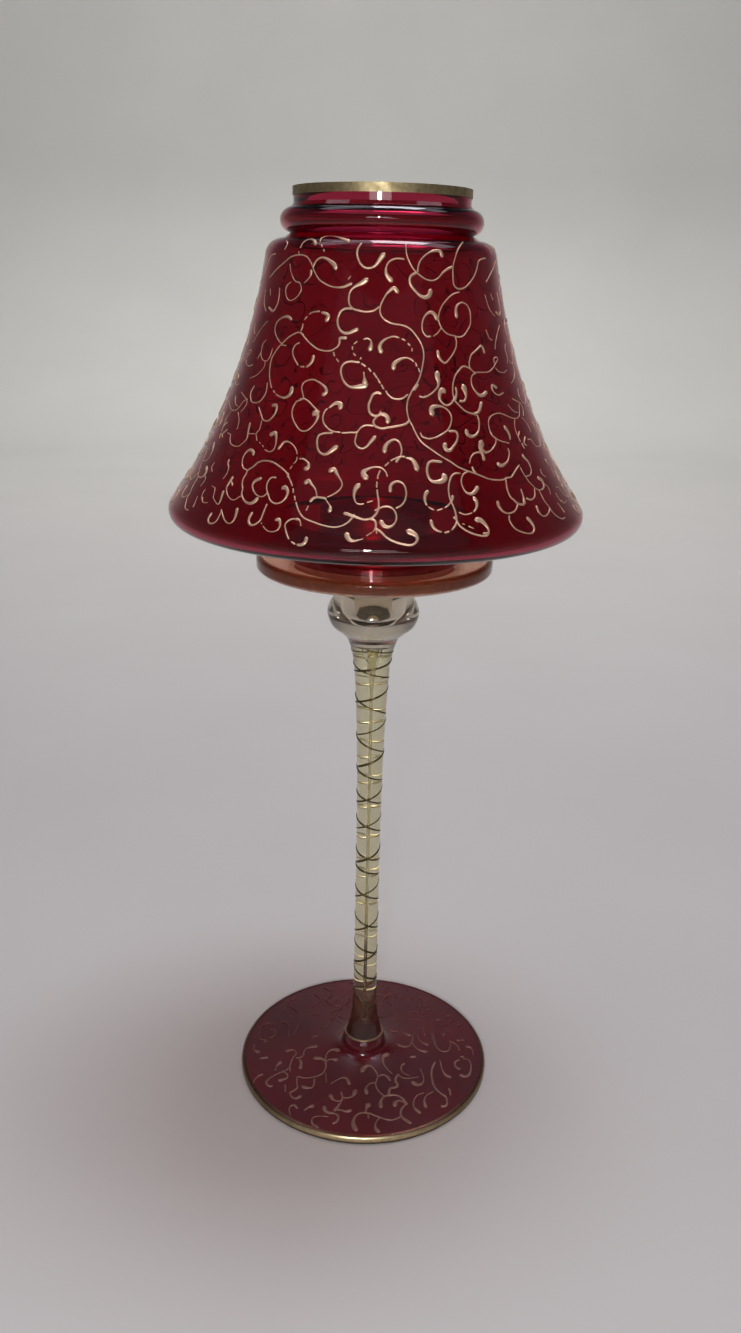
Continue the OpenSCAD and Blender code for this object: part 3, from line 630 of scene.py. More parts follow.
BELL_LEFT = [
    (0.9, 1.7, "300.8,332.7 304.2,337 308.8,342.3 315,347.5 320,350 326,351 331,350.5 335,348.5 338,346 339.5,342.5 "
     "339.8,338.5 342,338 346,338"),
    (1, 1, "333.5,352.5 334.5,356 | 336.5,359 338.5,361.5"),
    (0.9, 1.8, "299.2,343 295.8,344.6 293,349.2 292.7,353.8 294.6,359.2 298,365 | 300.4,366.5 303.8,366.8 | "
     "306.5,366.8 310.4,363.8 312.7,360 313.5,356.2"),
    (0.9, 2, "303.8,398.5 302.3,391.5 301.7,387.7 303.5,383 307.7,380.4 313,379.6 317.7,381.5 322.3,384.6 325.8,388.5 "
     "326.2,392.3 323,395"),
    (0.9, 0.9, "300,398.8 304.6,398.8 308.5,401.5 313.8,407 319.4,412.2"),
    (1, 2.7, "357.7,431.5 355.4,432.5 350.8,432.5 345.4,432.9 341.5,432.7 | 339.6,432.3 336.5,432 332.3,431.2 "
     "328.5,429.2 325,425.4 323,420.8 323,416.2 324.6,411.5 327,408.8 | 329.2,407.7 333,404.6 337,403 340.8,404.6 "
     "340,408"),
    (0.9, 2.4, "303.5,334.6 298.5,332.3 293.5,334.2 288,337.7 283.5,342.3 278.8,347 275,352.3 272,357.7 270.4,363.8 "
     "269.6,370.8 269.6,377.7 270.4,383 271.5,387.7 | 273.5,390.8 274.6,392.6 | 275.8,394.2 279.6,396.5 284.2,397.7 "
     "288.5,395.8 291.2,392.3 292,388"),
    (0.8, 0.8, "282,345 286,345.5"),
    (0.7, 0.7, "266,340 263,344 261.5,350 261,355 262.5,359.5 266,361 269,358.5 271,353.5 272.5,348.5"),
    (0.7, 0.7, "265,361.5 264.5,366 261,371 256,375.5 250,378"),
    (0.9, 0.9, "254.2,386.2 251.5,390.8 250.4,395.4 251.5,401.5 255,402.7 259.6,401.5 264.2,396 266.5,390 267.3,383"),
    (0.8, 0.8, "241.5,392 244,396 246.8,400 246.3,404.5 243.8,408.5 240.8,411.5"),
    (0.9, 1.7, "258.8,407.3 260.8,413.8 262.7,419.2 265.4,420.9 268.5,420.6 272.3,417.3 275.4,412.7 276.8,408 "
     "275.8,405.2 272.7,405.5"),
    (0.8, 2.2, "261.7,420.4 260.8,424.6 259.6,429.2 257.7,431.5 256.2,433.8 256.5,437.7 257,440.4 | 259.2,442.2 "
     "260.4,443.5 | 262.2,445.5 263.5,446.8 | 265,449.6 267.7,451.4 270.8,451.5 273.5,449.6 275.4,445.4 276.2,440 "
     "276.2,435.4 275,432.7 270.8,434.6"),
    (0.7, 0.7, "248.5,433.5 253.8,433.8 256,433.8"),
    (0.9, 2.5, "303.8,398.7 299,400.5 296.5,401.5 293.5,406.2 292,411.5 292.3,416.5 294.2,422 297.3,427.3 300.4,430.4 "
     "303.8,431.2 308.5,429.6 313,425.4 316.5,420.4 317.7,415.4 315.4,412 313.8,414.5"),
    (0.8, 1.4, "227.7,433 230.4,434.6 230,438.5 230.4,443 233.8,445.8 238.5,446.2 241,444.5 244.5,441.5 247,438 "
     "248,433 249,428 250,423.5"),
    (0.7, 0.7, "238,412 239,419 238.5,424 237,429"),
    (1, 1.2, "219.5,438 221,433.5"),
    (1, 1, "224,425.5 227,422.5"),
    (1.2, 2.6, "332.3,433 327.7,433 323,433.5 318.8,435.4 317.3,439.2 317,443.8 317.7,448.5 319.6,452.3 323,454.2 "
     "327,453.8 330.8,451.2 335,448 336.5,447"),
    (1, 2.4, "299.6,458.8 303,458.8 306.2,460.8 308.5,463.8 308,467.7 305.4,468.8"),
    (1.5, 0.8, "278.5,448.8 280.8,445.8 283.8,442.3 287,441.5 290.8,443 294.6,447 296.5,450.8 297,453.8 | "
     "297,457.3 296.2,460.8 293.8,463.5 | 292,466 290.2,468.8"),
    (1.7, 0.9, "253.3,454.5 253.5,452.3 251.5,450 249.2,450 246.2,452.3 243.5,456.5 242.3,460.8 242.2,464.6 243.5,468 "
     "246.8,470"),
    (1, 2.2, "288,475 285.4,471.5 280,466.9 273.8,462.7 268.5,461 263,460.8 257.7,462.7 253,466.9 247.7,470.2 "
     "246.2,473.8 243.8,477.7 242.5,481.5 242.2,485.4 242.7,488.5 241.6,493.8 242.4,497 243.8,500 246.2,502.3 "
     "249.6,503.5 252.7,502.7 255.4,500.8 257.3,498.5"),
    (1.4, 1.5, "287.6,473.4 288.2,476.8"),
    (1, 1.3, "288,476 290.3,480.8 292.2,485.6 | 293,488.8 293.3,492.4 | 294.5,496.4 295,499.8 | 295.9,502.5 "
     "297.7,508.5 300,513.5 303.5,517.7 308.8,520.4 315,522.7 320.4,524.6 325.8,526 330.4,526.9 335,527.2 340.4,526.2 "
     "345,524.2 348.8,521.5 351.5,518.5 354.2,514.8"),
    (2.5, 0.9, "330,471 333.8,469.2 336.5,473 339.2,477.7 341.5,481.5 342,485.4 340,489.2 336.5,492.3 331.9,495 "
     "327.3,497"),
    (2.3, 1, "305.4,483 308.5,480.5 310.8,483.5 313.8,487 315.8,490.8 316.7,495.4"),
    (1.3, 1.8, "325.8,499.2 323.5,498 320.4,497.7 316.5,497.3 313,498.5 310.4,501.2"),
    (0.9, 1, "308.2,506.2 306.2,510.2"),
    (0.9, 2.4, "326.4,500.6 328.8,504.2 330.4,507.6 329.6,511"),
    (1, 2.2, "297,518.8 295.4,518.9 291.2,519.2 287.3,521.5 285,524.8 285.4,529.2 286.6,533.8 288.7,538.8 | "
     "291.3,541.8 294.6,544 | 297.2,544.8 301,545 304,543.4 305.8,540.8 306.2,538"),
    (0.9, 1.6, "300.8,525.6 300.3,522.5 298.8,519.8 296,519"),
    (0.7, 1.3, "223,478.8 225.4,475.8 227.7,471.5 228.6,467 228,463.8 229,460"),
    (0.8, 1.6, "240.8,496.2 238.8,497 235.8,499.2 232.7,499.8 230,498.5 227.7,495.4 226.5,491.5 226.5,487.7 "
     "228,484.6 230,481.5 232.7,477.3"),
    (1, 1.2, "231.2,480.4 232.5,485"),
    (0.7, 1.6, "212,486 214.6,487.5 214.8,489.5 214.2,493.2 213.2,497 214.6,500.4 216.2,503 218,504.3 219.6,502.3 "
     "221.2,498.5 222.3,494.8 223.5,491.5"),
    (0.7, 0.7, "204.6,473 205.4,478.5 203,483 200.4,486"),
    (1.2, 0.7, "202.6,497.5 202.3,501 204,502.6 207.5,502.5"),
    (0.9, 1.8, "266.9,493.2 265.2,495 262.5,496.5 259.2,496.4 256.2,494.6 253.8,491.5 252.6,487.7 252.7,484.6 "
     "254.4,481.6 257.7,479.6 260.8,478.4"),
    (1, 2.2, "275.8,477.6 271.9,477.4 269.2,479.6 267.3,483 266.5,487.7 267.3,492.3 268.5,495.8 269.6,499.2 271.9,502 "
     "275.8,503.5 280,502.7 283.8,500 286.5,496.2 287.7,492.3 286.9,489.2 285,487 282.7,488.2"),
    (0.9, 1.5, "221.4,509.5 221,512 219.2,516 217.2,519.8 214.2,522.7 210.4,523.5 208.2,521.2 209,517.5 211.5,513.5"),
    (0.9, 1.9, "221.4,510 222.7,515.4 224.6,520 226.9,522.7 229.6,523.4 232.7,521.5 235,517.7 236.5,513 237.2,509"),
    (1.1, 1.7, "266.7,504.6 264.4,510 262.3,515.4 260.6,519.6 258,522.3 254.6,524.6 251.2,525 249,523 248.8,520 "
     "250,516.2 251.9,513.2"),
    (0.8, 1.8, "261,522.8 261.6,524 | 263,526.2 265.8,529.6 269.2,531.4 273.5,531.5 277.3,530 279.7,526.5 280,523 "
     "279,519.3 276,520"),
]

# Gold strokes on the foot, read in the same way
FOOT_STROKES = [
    (0.9, 2.4, "377.8,1076.6 377,1073.2 374.8,1069.8 372,1066.6 368.4,1065.4 364.8,1067 362.2,1070.6"),
    (1, 1.4, "377.8,1077 380,1075.4 384,1074.8 387.4,1076.6 390,1080.2"),
    (0.8, 1.8, "375.6,1083 371.6,1082.8 368,1085 365.8,1089 366.8,1093.4"),
    (0.9, 0.9, "378,1077 376.2,1081 375.9,1085 377.3,1089 380,1092.6 383.4,1095.2"),
    (1.3, 1.5, "398.4,1074.8 396,1077.6 395.8,1081.4 397.6,1085 395.6,1087.6 391.2,1088 389.2,1090.6 389,1094.6"),
    (1.2, 2, "389.4,1095.4 385.2,1096 382,1098.8 380.6,1103 380.8,1106.8"),
    (1.2, 1.5, "389.4,1095.4 394,1095 398.4,1095.8 402,1098.2 404.6,1101.4 406.6,1104.2"),
    (1, 2.2, "405.6,1103.6 402.6,1101.6 399,1100.6 395.8,1102 394.8,1105.4"),
    (1.2, 1.9, "406.6,1103.6 403.4,1106.6 401.2,1110 400.8,1114 402,1117 405.6,1120 410.4,1122.8"),
    (0.8, 1.8, "424,1093 418.4,1094.6 415,1098 413.6,1102 413.6,1106 415.8,1109.4 419.8,1112.6"),
    (0.8, 1.8, "433.4,1091.4 429.4,1093.6 426,1096 424.4,1099.6 424.4,1103 425.8,1107"),
    (1.2, 1.2, "435,1062.4 432.6,1067 431.6,1072 431.8,1077.4 433.2,1083.6 436,1089 440.8,1093.4 445.6,1096.6"),
    (1, 1.7, "445.8,1096.6 447,1100.4 446.8,1104.4 444.6,1106.2 441.6,1106.4"),
    (1.5, 1, "449,1089.4 450.2,1091.6 450.4,1095"),
    (0.8, 1.6, "440,1060 441.2,1066 442.6,1070.8 445.4,1075 450,1077.2"),
    (1, 1.6, "459,1060.2 455.6,1061.4 454.8,1064.6 456.6,1067.6 459.6,1069"),
    (0.8, 1.8, "463,1058.6 468.6,1059.6 470.8,1064.4 470.8,1070 469.4,1074.6 465.4,1076.6 460.6,1075.2"),
    (0.8, 1.8, "473,1054.4 472.6,1050.6 470,1047.4 466.6,1046.6"),
    (1.3, 1.4, "461.2,1056.8 463.6,1056.6"),
    (0.8, 2.2, "392,1073.4 387.6,1069.4 384.2,1064.6 382.8,1060 383.8,1056 388,1054.2"),
    (0.7, 1.2, "409,1075.4 404,1073.4 401.2,1069.6 401.6,1065.8 404,1063.6"),
    (0.7, 0.7, "399.4,1076 404.6,1078.2 411.8,1078 418,1077"),
    (0.8, 2.2, "420.4,1069 422.8,1074.6 423.8,1080 421.8,1083.8 417.6,1085 412.8,1082.4"),
    (1.4, 1.6, "411,1057 415,1056.6"),
    (1, 2.3, "400.8,1116.4 396.6,1118.6 391.6,1120 386.2,1119.4 380.8,1117.6 375.4,1115.8 370.4,1113.6 365,1112.8 "
     "360,1113.2 355.8,1115.8 353.4,1120.6 353.8,1125.6 356,1130"),
    (1.1, 2.8, "365.8,1112.8 366.2,1108.8 368.6,1104.6"),
    (1, 0.9, "368.2,1114.5 368.6,1118.2"),
    (0.9, 2.1, "379.4,1118 376.4,1121.4 375.2,1125.6 376,1129 378.6,1131.6"),
    (0.8, 1.7, "331.4,1083.4 335.8,1080.6 340,1078.4 344.4,1077.6 347.6,1079.6 349.2,1083.6"),
    (1, 1.5, "341,1092.4 342.4,1096.8 341.4,1101.4 338.6,1105.8 334.4,1110.6"),
    (0.9, 2.1, "342.4,1097.4 347.6,1097.8 352,1096.4 354.6,1093 355.2,1090.6"),
    (0.9, 2, "341.6,1100.6 337,1101 333,1099.4 330.6,1095.4"),
    (1, 2, "335.4,1109.6 340,1109.8 345.6,1111.4 350.4,1110.4"),
    (1.2, 1.8, "333,1123.6 336.6,1121.6 338.4,1118.6 337.6,1115.2 334,1113.2 329,1112.8 325.2,1110.6 324.4,1107"),
    (0.8, 1.6, "328,1116.6 322,1116 317,1116.2 313,1117.8 311.8,1121.6 313.4,1125 317.6,1127"),
    (1, 2, "304.4,1110.4 308.4,1107.4 313,1105.8"),
    (0.8, 1.5, "290.4,1115 289.2,1110 290.6,1106 294,1105.2 297.4,1108"),
    (0.9, 0.9, "285.2,1085 285.4,1091.6"),
    (0.9, 1.2, "297,1077.4 296.8,1083.2 297.6,1087.2 294.8,1090 290.4,1092.2"),
    (1, 1.7, "290,1092 290.8,1095.6 293.4,1098 297.4,1098 300.4,1096"),
    (0.9, 1.9, "314.4,1079 314,1084 312.2,1087.4 307.4,1088 302.6,1086.8"),
    (0.9, 1.9, "297.4,1076.4 304,1077.8 309.4,1077.8 315,1076.6 320,1075 323.6,1072.2 325.6,1068.4 326,1064 "
     "324.6,1060.4 320,1058.4 314.4,1058"),
    (0.8, 0.7, "325.8,1073 326.2,1082.6"),
    (0.9, 2, "326.4,1061 330.4,1059.4 336.6,1059.8"),
    (1.3, 1.9, "300,1060 301.4,1063.4 300.4,1068"),
    (0.9, 0.9, "293.4,1057.4 291,1062 290,1066.6 290.4,1071"),
    (0.9, 1.9, "275.4,1070 277,1065.6 280.4,1062.4"),
    (0.9, 1.4, "289.4,1067.6 286,1070.2 281.4,1071.8 275.2,1075 270,1078 266.8,1081 266.6,1084 269.4,1086.2 "
     "272,1086"),
    (0.9, 1.8, "281.6,1072 285,1072.6 287.6,1075 286.8,1078 283.4,1079.6 279.6,1080.4"),
    (1, 1.6, "260.4,1058.4 267,1057.6"),
    (0.8, 1.4, "252.6,1084.4 254.8,1079.4 258.4,1076 262.6,1074.4"),
]

# Foot strokes so near the middle line that a copy of them would cross the others
FOOT_MIDDLE = [
    (1.5, 0.9, "450,1041.4 454.6,1043.6 457.8,1046.4 459.4,1050"),
    (0.9, 1.5, "450.4,1042 450.6,1046 449,1050 445,1051.6 440.6,1050.6 436.8,1047.4 434.6,1042.8 433.4,1038 "
     "431.4,1033.6"),
    (1.1, 1.7, "415,1032.6 412.8,1038 412,1042.4 409,1046 403.8,1046.6 398.4,1044.8"),
    (1, 1.8, "412.2,1042.6 415.2,1047.2 420,1050.4 426.6,1051.6"),
    (0.9, 1.8, "417,1034 419,1039.6 422.6,1043 427.6,1044.6"),
    (0.9, 2, "325.8,1058.6 326.6,1054 330,1050.6 334.6,1049.4 338.6,1050.4"),
    (0.9, 2, "296,1057.8 300,1057.6 303.4,1055.4 304.4,1051 307.2,1048.2 312,1046.8 316.6,1046.2"),
    (0.9, 1.6, "293,1057 296,1054.6 295.6,1051.2 291.6,1050 286.4,1051"),
]


# Gold scrollwork: raised enamel strokes, laid on the glass where the camera's rays meet it
BLUR_PX = 0.6
THINNEST_PX = 0.42
SAMPLE_STEP_PX = 1.1
SWELL_PX = 20
ENAMEL_HEIGHT = 0.3 * MM
ENAMEL_SUNK = 0.15 * MM
DOME = (-1.0, -0.8, -0.42, 0.0, 0.42, 0.8, 1.0)


def ray_through(x, y):
    """The direction in which the camera sees a pixel of the photograph."""
    right, up, look = camera_axes()
    across, down = x - PHOTO_W / 2, y - PHOTO_H / 2
    u = across * math.cos(CAMERA_ROLL) + down * math.sin(CAMERA_ROLL)
    v = down * math.cos(CAMERA_ROLL) - across * math.sin(CAMERA_ROLL)
    return (look + right * (u / FOCAL_PX) - up * (v / FOCAL_PX)).normalized()


def surface_of(name):
    mesh = nodes[name].data
    corners = [vertex.co.copy() for vertex in mesh.vertices]
    return BVHTree.FromPolygons(corners, [tuple(face.vertices) for face in mesh.polygons])


def surface_under(surface, x, y):
    """The point of the glass under a pixel and the mean normal around it."""
    place = surface.ray_cast(CAMERA_PLACE, ray_through(x, y))[0]
    if place is None:
        return None
    normal = Vector((0, 0, 0))
    for across, down in ((0, 0), (1.5, 0), (-1.5, 0), (0, 1.5), (0, -1.5)):
        hit, facing = surface.ray_cast(CAMERA_PLACE, ray_through(x + across, y + down))[:2]
        if hit is not None and (hit - place).length < 3 * MM:
            normal += facing if facing.dot(CAMERA_PLACE - hit) > 0 else -facing
    return place, normal.normalized()


def smooth_curve(points, step):
    """Samples of a Catmull-Rom curve through the points, each with its span's number."""
    samples = []
    for i in range(len(points) - 1):
        p1, p2 = points[i], points[i + 1]
        p0 = points[i - 1] if i > 0 else p1 * 2 - p2
        p3 = points[i + 2] if i + 2 < len(points) else p2 * 2 - p1
        count = max(1, round((p2 - p1).length / step))
        last = i == len(points) - 2
        for k in range(count + 1 if last else count):
            t = k / count
            bend = (p0 * 2 - p1 * 5 + p2 * 4 - p3) * t * t + (p1 * 3 - p0 - p2 * 3 + p3) * t ** 3
            samples.append((i, p1 + ((p2 - p0) * t + bend) / 2))
    return samples


def true_half_width(half):
    """A line's half width without what the photograph's blur adds to it."""
    return math.sqrt(max(half * half - BLUR_PX * BLUR_PX, THINNEST_PX * THINNEST_PX))


def read_stroke(start, end, path):
    """Turns one written stroke into runs of (pixel, half width in pixels); a bar in the path is a gap."""
    start = true_half_width(start)
    end = true_half_width(end)
    points = []
    gaps = set()
    for part in path.split("|"):
        points += [Vector([float(value) for value in pair.split(",")]) for pair in part.split()]
        gaps.add(len(points) - 1)
    samples = smooth_curve(points, SAMPLE_STEP_PX)
    lengths = [0.0]
    for before, after in zip(samples, samples[1:]):
        lengths.append(lengths[-1] + (after[1] - before[1]).length)
    whole = lengths[-1]
    swell = min(0.6 * whole, SWELL_PX)
    runs = [[]]
    for (span, point), length in zip(samples, lengths):
        left = whole - length if end >= start else length
        share = max(0.0, 1 - left / swell)
        share = share * share * (3 - 2 * share)
        half = min(start, end) + abs(end - start) * share
        if span in gaps and span < len(points) - 1:
            if runs[-1]:
                runs[-1].append((points[span], half))
                runs.append([])
            continue
        runs[-1].append((point, half))
    return [run for run in runs if len(run) > 1]


def path_under(surface, run, stretch):
    """The places of the glass under a run of pixels, each with its normal and the half width there."""
    look = camera_axes()[2]
    path = []
    for point, half in run:
        found = surface_under(surface, point.x, point.y)
        if found is not None:
            depth = (found[0] - CAMERA_PLACE).dot(look)
            path.append((*found, half * stretch * depth / FOCAL_PX))
    return path


def lay_ribbon(mesh, path, turns=(0,), underside=0):
    """Adds one domed, round-ended ribbon of enamel, once for each turn; its underside has a material of its own."""
    if len(path) < 2:
        return
    first, last = path[0], path[-1]
    lead = (first[0] - path[1][0]).normalized() * first[2] * 0.8
    tail = (last[0] - path[-2][0]).normalized() * last[2] * 0.8
    path = [(first[0] + lead, first[1], first[2])] + path + [(last[0] + tail, last[1], last[2])]
    along = [0.0]
    for before, after in zip(path, path[1:]):
        along.append(along[-1] + (after[0] - before[0]).length)
    rings = []
    for i, (place, normal, half) in enumerate(path):
        ahead = path[min(i + 1, len(path) - 1)][0] - path[max(i - 1, 0)][0]
        side = normal.cross(ahead).normalized()
        near_end = min(along[i], along[-1] - along[i])
        rounding = 1 - min(1.0, near_end / half)
        wide = half * max(0.12, math.sqrt(max(0.0, 1 - rounding * rounding)))
        high = min(ENAMEL_HEIGHT, 0.55 * half) * (0.25 + 0.75 * wide / half)
        ring = [place + side * wide * u + normal * high * math.sqrt(max(0.0, 1 - u * u)) for u in DOME]
        ring += [place + side * wide * 0.8 - normal * ENAMEL_SUNK, place - side * wide * 0.8 - normal * ENAMEL_SUNK]
        rings.append(ring)
    for turn in turns:
        spin = Matrix.Rotation(math.radians(turn), 3, "Z")
        rows = [[mesh.verts.new(spin @ corner) for corner in ring] for ring in rings]
        around = len(rows[0])
        for near, far in zip(rows, rows[1:]):
            for k in range(around):
                after = (k + 1) % around
                face = mesh.faces.new((near[k], near[after], far[after], far[k]))
                face.material_index = underside if k >= len(DOME) - 1 else 0
        mesh.faces.new(reversed(rows[0]))
        mesh.faces.new(rows[-1])


def keep_piece(name, mesh, body, replaced, material):
    """Turns the mesh into a smooth-shaded piece that stands for a CAD node."""
    data = bpy.data.meshes.new(name)
    mesh.to_mesh(data)
    mesh.free()
    data.shade_smooth()
    data.materials.append(material)
    piece = bpy.data.objects.new(name, data)
    bpy.context.scene.collection.objects.link(piece)
    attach(piece, body)
    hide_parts(replaced)
    return piece


def lay_scrollwork(name, glass, groups, stretch, body, replaced, material):
    """Makes one piece of all the strokes in the groups, where a group is (strokes, turns about the axis)."""
    surface = surface_of(glass)
    mesh = bmesh.new()
    for strokes, turns in groups:
        for stroke in strokes:
            for run in read_stroke(*stroke):
                lay_ribbon(mesh, path_under(surface, run, stretch), turns)
    bmesh.ops.recalc_face_normals(mesh, faces=mesh.faces)
    keep_piece(name, mesh, body, replaced, material)


def make_scrollwork(bell_material, foot_material):
    third_turns = (0, 120, 240)
    bell = [(group, third_turns) for group in (BELL_MIDDLE, BELL_TOP, BELL_VINE, BELL_RIGHT, BELL_LEFT)]
    lay_scrollwork("shade_scrollwork", "shade_glass", bell, 1.0, "shade", "shade_gold_scrolls", bell_material)
    foot = [(FOOT_STROKES, (0, 180)), (FOOT_MIDDLE, (0,))]
    lay_scrollwork("foot_scrollwork", "foot", foot, 1.2, "holder", "foot_gold_scrolls", foot_material)


# Gold lines wound round the stem by hand: the rows in which each one crosses the stem's front, from the knop down
STEM_FRONT_X = 367.7
FALLING_ROWS = (650, 673.7, 707.4, 747, 777.2, 800.8, 827.6, 859, 873, 897, 926, 952, 978, 1003)
RISING_ROWS = (652, 670.6, 700.5, 733, 764.3, 799.9, 826, 859, 893, 926.8, 958.7, 985, 1009)
LINE_HALF = 0.36 * MM
LINE_STEP = 7
LINE_SWELL = 0.25
JOINT_GAP = 0.4 * MM


def wound_path(surface, rows, way):
    """A line wound to the right (1) or to the left (-1) through the turns that were read in front."""
    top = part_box("stem")[1][2] - JOINT_GAP
    reads = []
    for i, row in enumerate(rows):
        front = surface_under(surface, STEM_FRONT_X, row)[0]
        turned = way * 360 * i + math.degrees(math.atan2(front.y, front.x))
        reads.append(Vector((turned, min(front.z, top) / MM)))
    path = []
    for i, (turned, height) in smooth_curve(reads, LINE_STEP):
        out = Vector((math.cos(math.radians(turned)), math.sin(math.radians(turned)), 0))
        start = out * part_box("stem")[1][0] * 2 + Vector((0, 0, height * MM))
        place, normal = surface.ray_cast(start, -out)[:2]
        half = LINE_HALF * (1 + LINE_SWELL * math.sin(math.radians(turned) * 0.8 + i))
        path.append((place, normal if normal.dot(out) > 0 else -normal, half))
    return path


def wind_lines(material, underside):
    surface = surface_of("stem")
    for name, rows, way, replaced in (
        ("stem_line_falling", FALLING_ROWS, 1, "stem_gold_line_right"),
        ("stem_line_rising", RISING_ROWS, -1, "stem_gold_line_left"),
    ):
        mesh = bmesh.new()
        lay_ribbon(mesh, wound_path(surface, rows, way), underside=1)
        bmesh.ops.recalc_face_normals(mesh, faces=mesh.faces)
        piece = keep_piece(name, mesh, "holder", replaced, material)
        piece.data.materials.append(underside)


# Turned pieces, rebuilt with one smooth skin so that their curves mirror without facets
SMOOTH_SKINS = [
    ("bell_glass", "shade_glass", "shade", "ruby_glass"),
    ("mouth_band", "shade_gold_band", "shade", "gold_enamel"),
    ("dish_glass", "dish", "holder", "clear_glass"),
    ("dish_rim_glass", "dish_amber_rim", "holder", "amber_glass"),
    ("knop_glass", "knop", "holder", "clear_glass"),
    ("stem_glass", "stem", "holder", "clear_glass"),
    ("stem_ring", "stem_gold_ring", "holder", "gold_enamel"),
    ("foot_glass", "foot", "holder", "ruby_satin_glass"),
    ("foot_edge", "foot_gold_edge", "holder", "gold_enamel"),
]
SHARPEST_CURVE = math.radians(35)


def smooth_skins():
    for name, node, body, slot in SMOOTH_SKINS:
        source = nodes[node].data
        mesh = bmesh.new()
        corners = [mesh.verts.new(vertex.co) for vertex in source.vertices]
        for face in source.polygons:
            mesh.faces.new([corners[k] for k in face.vertices])
        bmesh.ops.remove_doubles(mesh, verts=mesh.verts, dist=0.002 * MM)
        piece = keep_piece(name, mesh, body, node, source.materials[0])
        piece.data.set_sharp_from_angle(angle=SHARPEST_CURVE)


# Floor, backdrop and lamps
STAGE_FLAT = 1.7
STAGE_BEND = 0.5
STAGE_TOP = 3.2


def make_stage():
    """A pale floor that turns up into a round backdrop, beyond every view's camera. The backdrop carries painted shade:
    it darkens from 0.35 m up, except straight behind where it stays pale up to 0.85 m, in a violet grey in front and a
    deeper grey elsewhere.
    """
    side = [(0.0, 0.0)]
    side += [(STAGE_FLAT, 0.0)]
    steps = 12
    for i in range(1, steps + 1):
        angle = math.radians(90 * i / steps)
        side.append((STAGE_FLAT + STAGE_BEND * math.sin(angle), STAGE_BEND * (1 - math.cos(angle))))
    side.append((STAGE_FLAT + STAGE_BEND, STAGE_TOP))
    turns = 96
    points = []
    faces = []
    for i in range(turns):
        angle = 2 * math.pi * i / turns
        for r, z in side:
            points.append((r * math.cos(angle), r * math.sin(angle), z))
    count = len(side)
    for i in range(turns):
        for j in range(count - 1):
            a = i * count + j
            b = ((i + 1) % turns) * count + j
            faces.append((a, b, b + 1, a + 1))
    mesh = bpy.data.meshes.new("floor")
    mesh.from_pydata(points, [], faces)
    mesh.shade_smooth()
    floor = bpy.data.objects.new("floor", mesh)
    bpy.context.scene.collection.objects.link(floor)
    material, tree, shader, output = new_material("pale_floor")
    place = object_place(tree)
    parts = add(tree, "ShaderNodeSeparateXYZ", {0: place})
    pale = blend_colours(tree, noise(tree, place, 6, 4), (0.43, 0.426, 0.394), (0.48, 0.476, 0.444))
    # Painted shade on the backdrop: it darkens from 0.35 m up except straight behind, and everywhere from 0.85 m up
    high = remap(tree, parts.outputs["Z"], 0.35, 0.85, 0, 1)
    aside = remap(tree, parts.outputs["Y"], 1.3, 1.9, 1, 0.1)
    low_share = add(tree, "ShaderNodeMath", {0: high, 1: aside}, operation="MULTIPLY").outputs[0]
    highest = remap(tree, parts.outputs["Z"], 0.85, 1.25, 0, 1)
    shade = add(tree, "ShaderNodeMath", {0: low_share, 1: highest}, operation="MAXIMUM").outputs[0]
    in_front = remap(tree, parts.outputs["Y"], -1.9, -1.1, 1, 0)
    dusk = blend_colours(tree, in_front, (0.29, 0.28, 0.3), (0.4, 0.39, 0.44))
    colour = blend_colours(tree, shade, pale, dusk)
    tree.links.new(colour, shader.inputs["Base Color"])
    shader.inputs["Roughness"].default_value = 0.85
    mesh.materials.append(material)


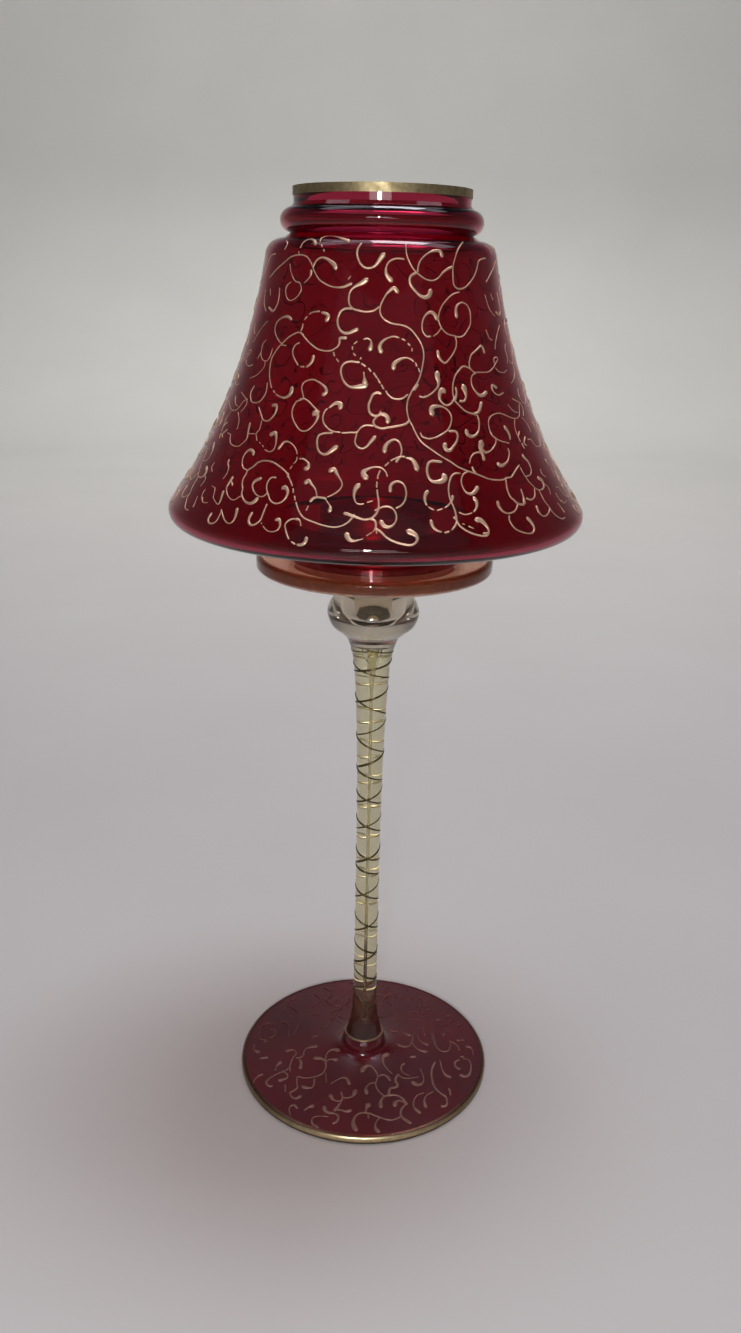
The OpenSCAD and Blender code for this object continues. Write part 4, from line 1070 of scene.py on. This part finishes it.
def make_lamp(name, place, aim, size, power, colour=(1, 1, 1), spread=180, shines=True):
    """An area lamp with its beam's spread in degrees; a lamp that doesn't shine isn't mirrored in the glass."""
    data = bpy.data.lights.new(name, "AREA")
    data.shape = "RECTANGLE"
    data.size, data.size_y = size
    data.energy = power
    data.color = colour
    data.spread = math.radians(spread)
    lamp = bpy.data.objects.new(name, data)
    lamp.location = place
    lamp.rotation_mode = "QUATERNION"
    lamp.rotation_quaternion = (Vector(aim) - Vector(place)).to_track_quat("-Z", "Y")
    lamp.visible_camera = False
    lamp.visible_glossy = shines
    lamp.visible_transmission = shines
    bpy.context.scene.collection.objects.link(lamp)


def make_light():
    middle = (0, 0, 0.22)
    make_lamp("lamp_near_camera", (-0.05, -0.62, 0.36), middle, (0.035, 0.03), 2.0)
    make_lamp("lamp_glow", (-0.04, -0.63, 0.36), middle, (0.3, 0.06), 0.2)
    make_lamp("lamp_dim_front", (0, -1.3, 1.6), middle, (3.2, 1.3), 1.4, (0.75, 0.82, 1))
    make_lamp("lamp_low_front", (-0.03, -1.5, 0.27), middle, (0.9, 0.05), 1.2)
    make_lamp("lamp_overhead", (0.2, 0.12, 1.5), (0.2, 0.12, 0), (0.6, 0.42), 8.5, (0.97, 0.9, 1))
    make_lamp("lamp_long_overhead", (0.05, 0.08, 1.55), (0.05, 0.08, 0), (2.2, 0.55), 6.0, (0.9, 0.85, 1))
    make_lamp("lamp_high_behind", (0, 0.75, 2.0), middle, (1.6, 0.9), 4.5, (0.93, 0.88, 1))
    make_lamp("lamp_on_backdrop", (0, 0.6, 3.0), (0, 1.9, 0.3), (0.6, 0.6), 14.0, spread=70, shines=False)
    make_lamp("lamp_on_floor", (0, 0, 3.0), (0, 0, 0), (1.6, 1.6), 5.0, shines=False)
    world = bpy.data.worlds.new("room")
    world.use_nodes = True
    background = world.node_tree.nodes["Background"]
    background.inputs["Color"].default_value = (0.8, 0.77, 0.88, 1)
    background.inputs["Strength"].default_value = 0.18
    bpy.context.scene.world = world


make_camera()
finish_nodes()
make_scrollwork(bell_gold(), foot_gold())
wind_lines(line_gold(), line_underside())
smooth_skins()
make_stage()
make_light()
bpy.context.scene.view_settings.view_transform = "Standard"
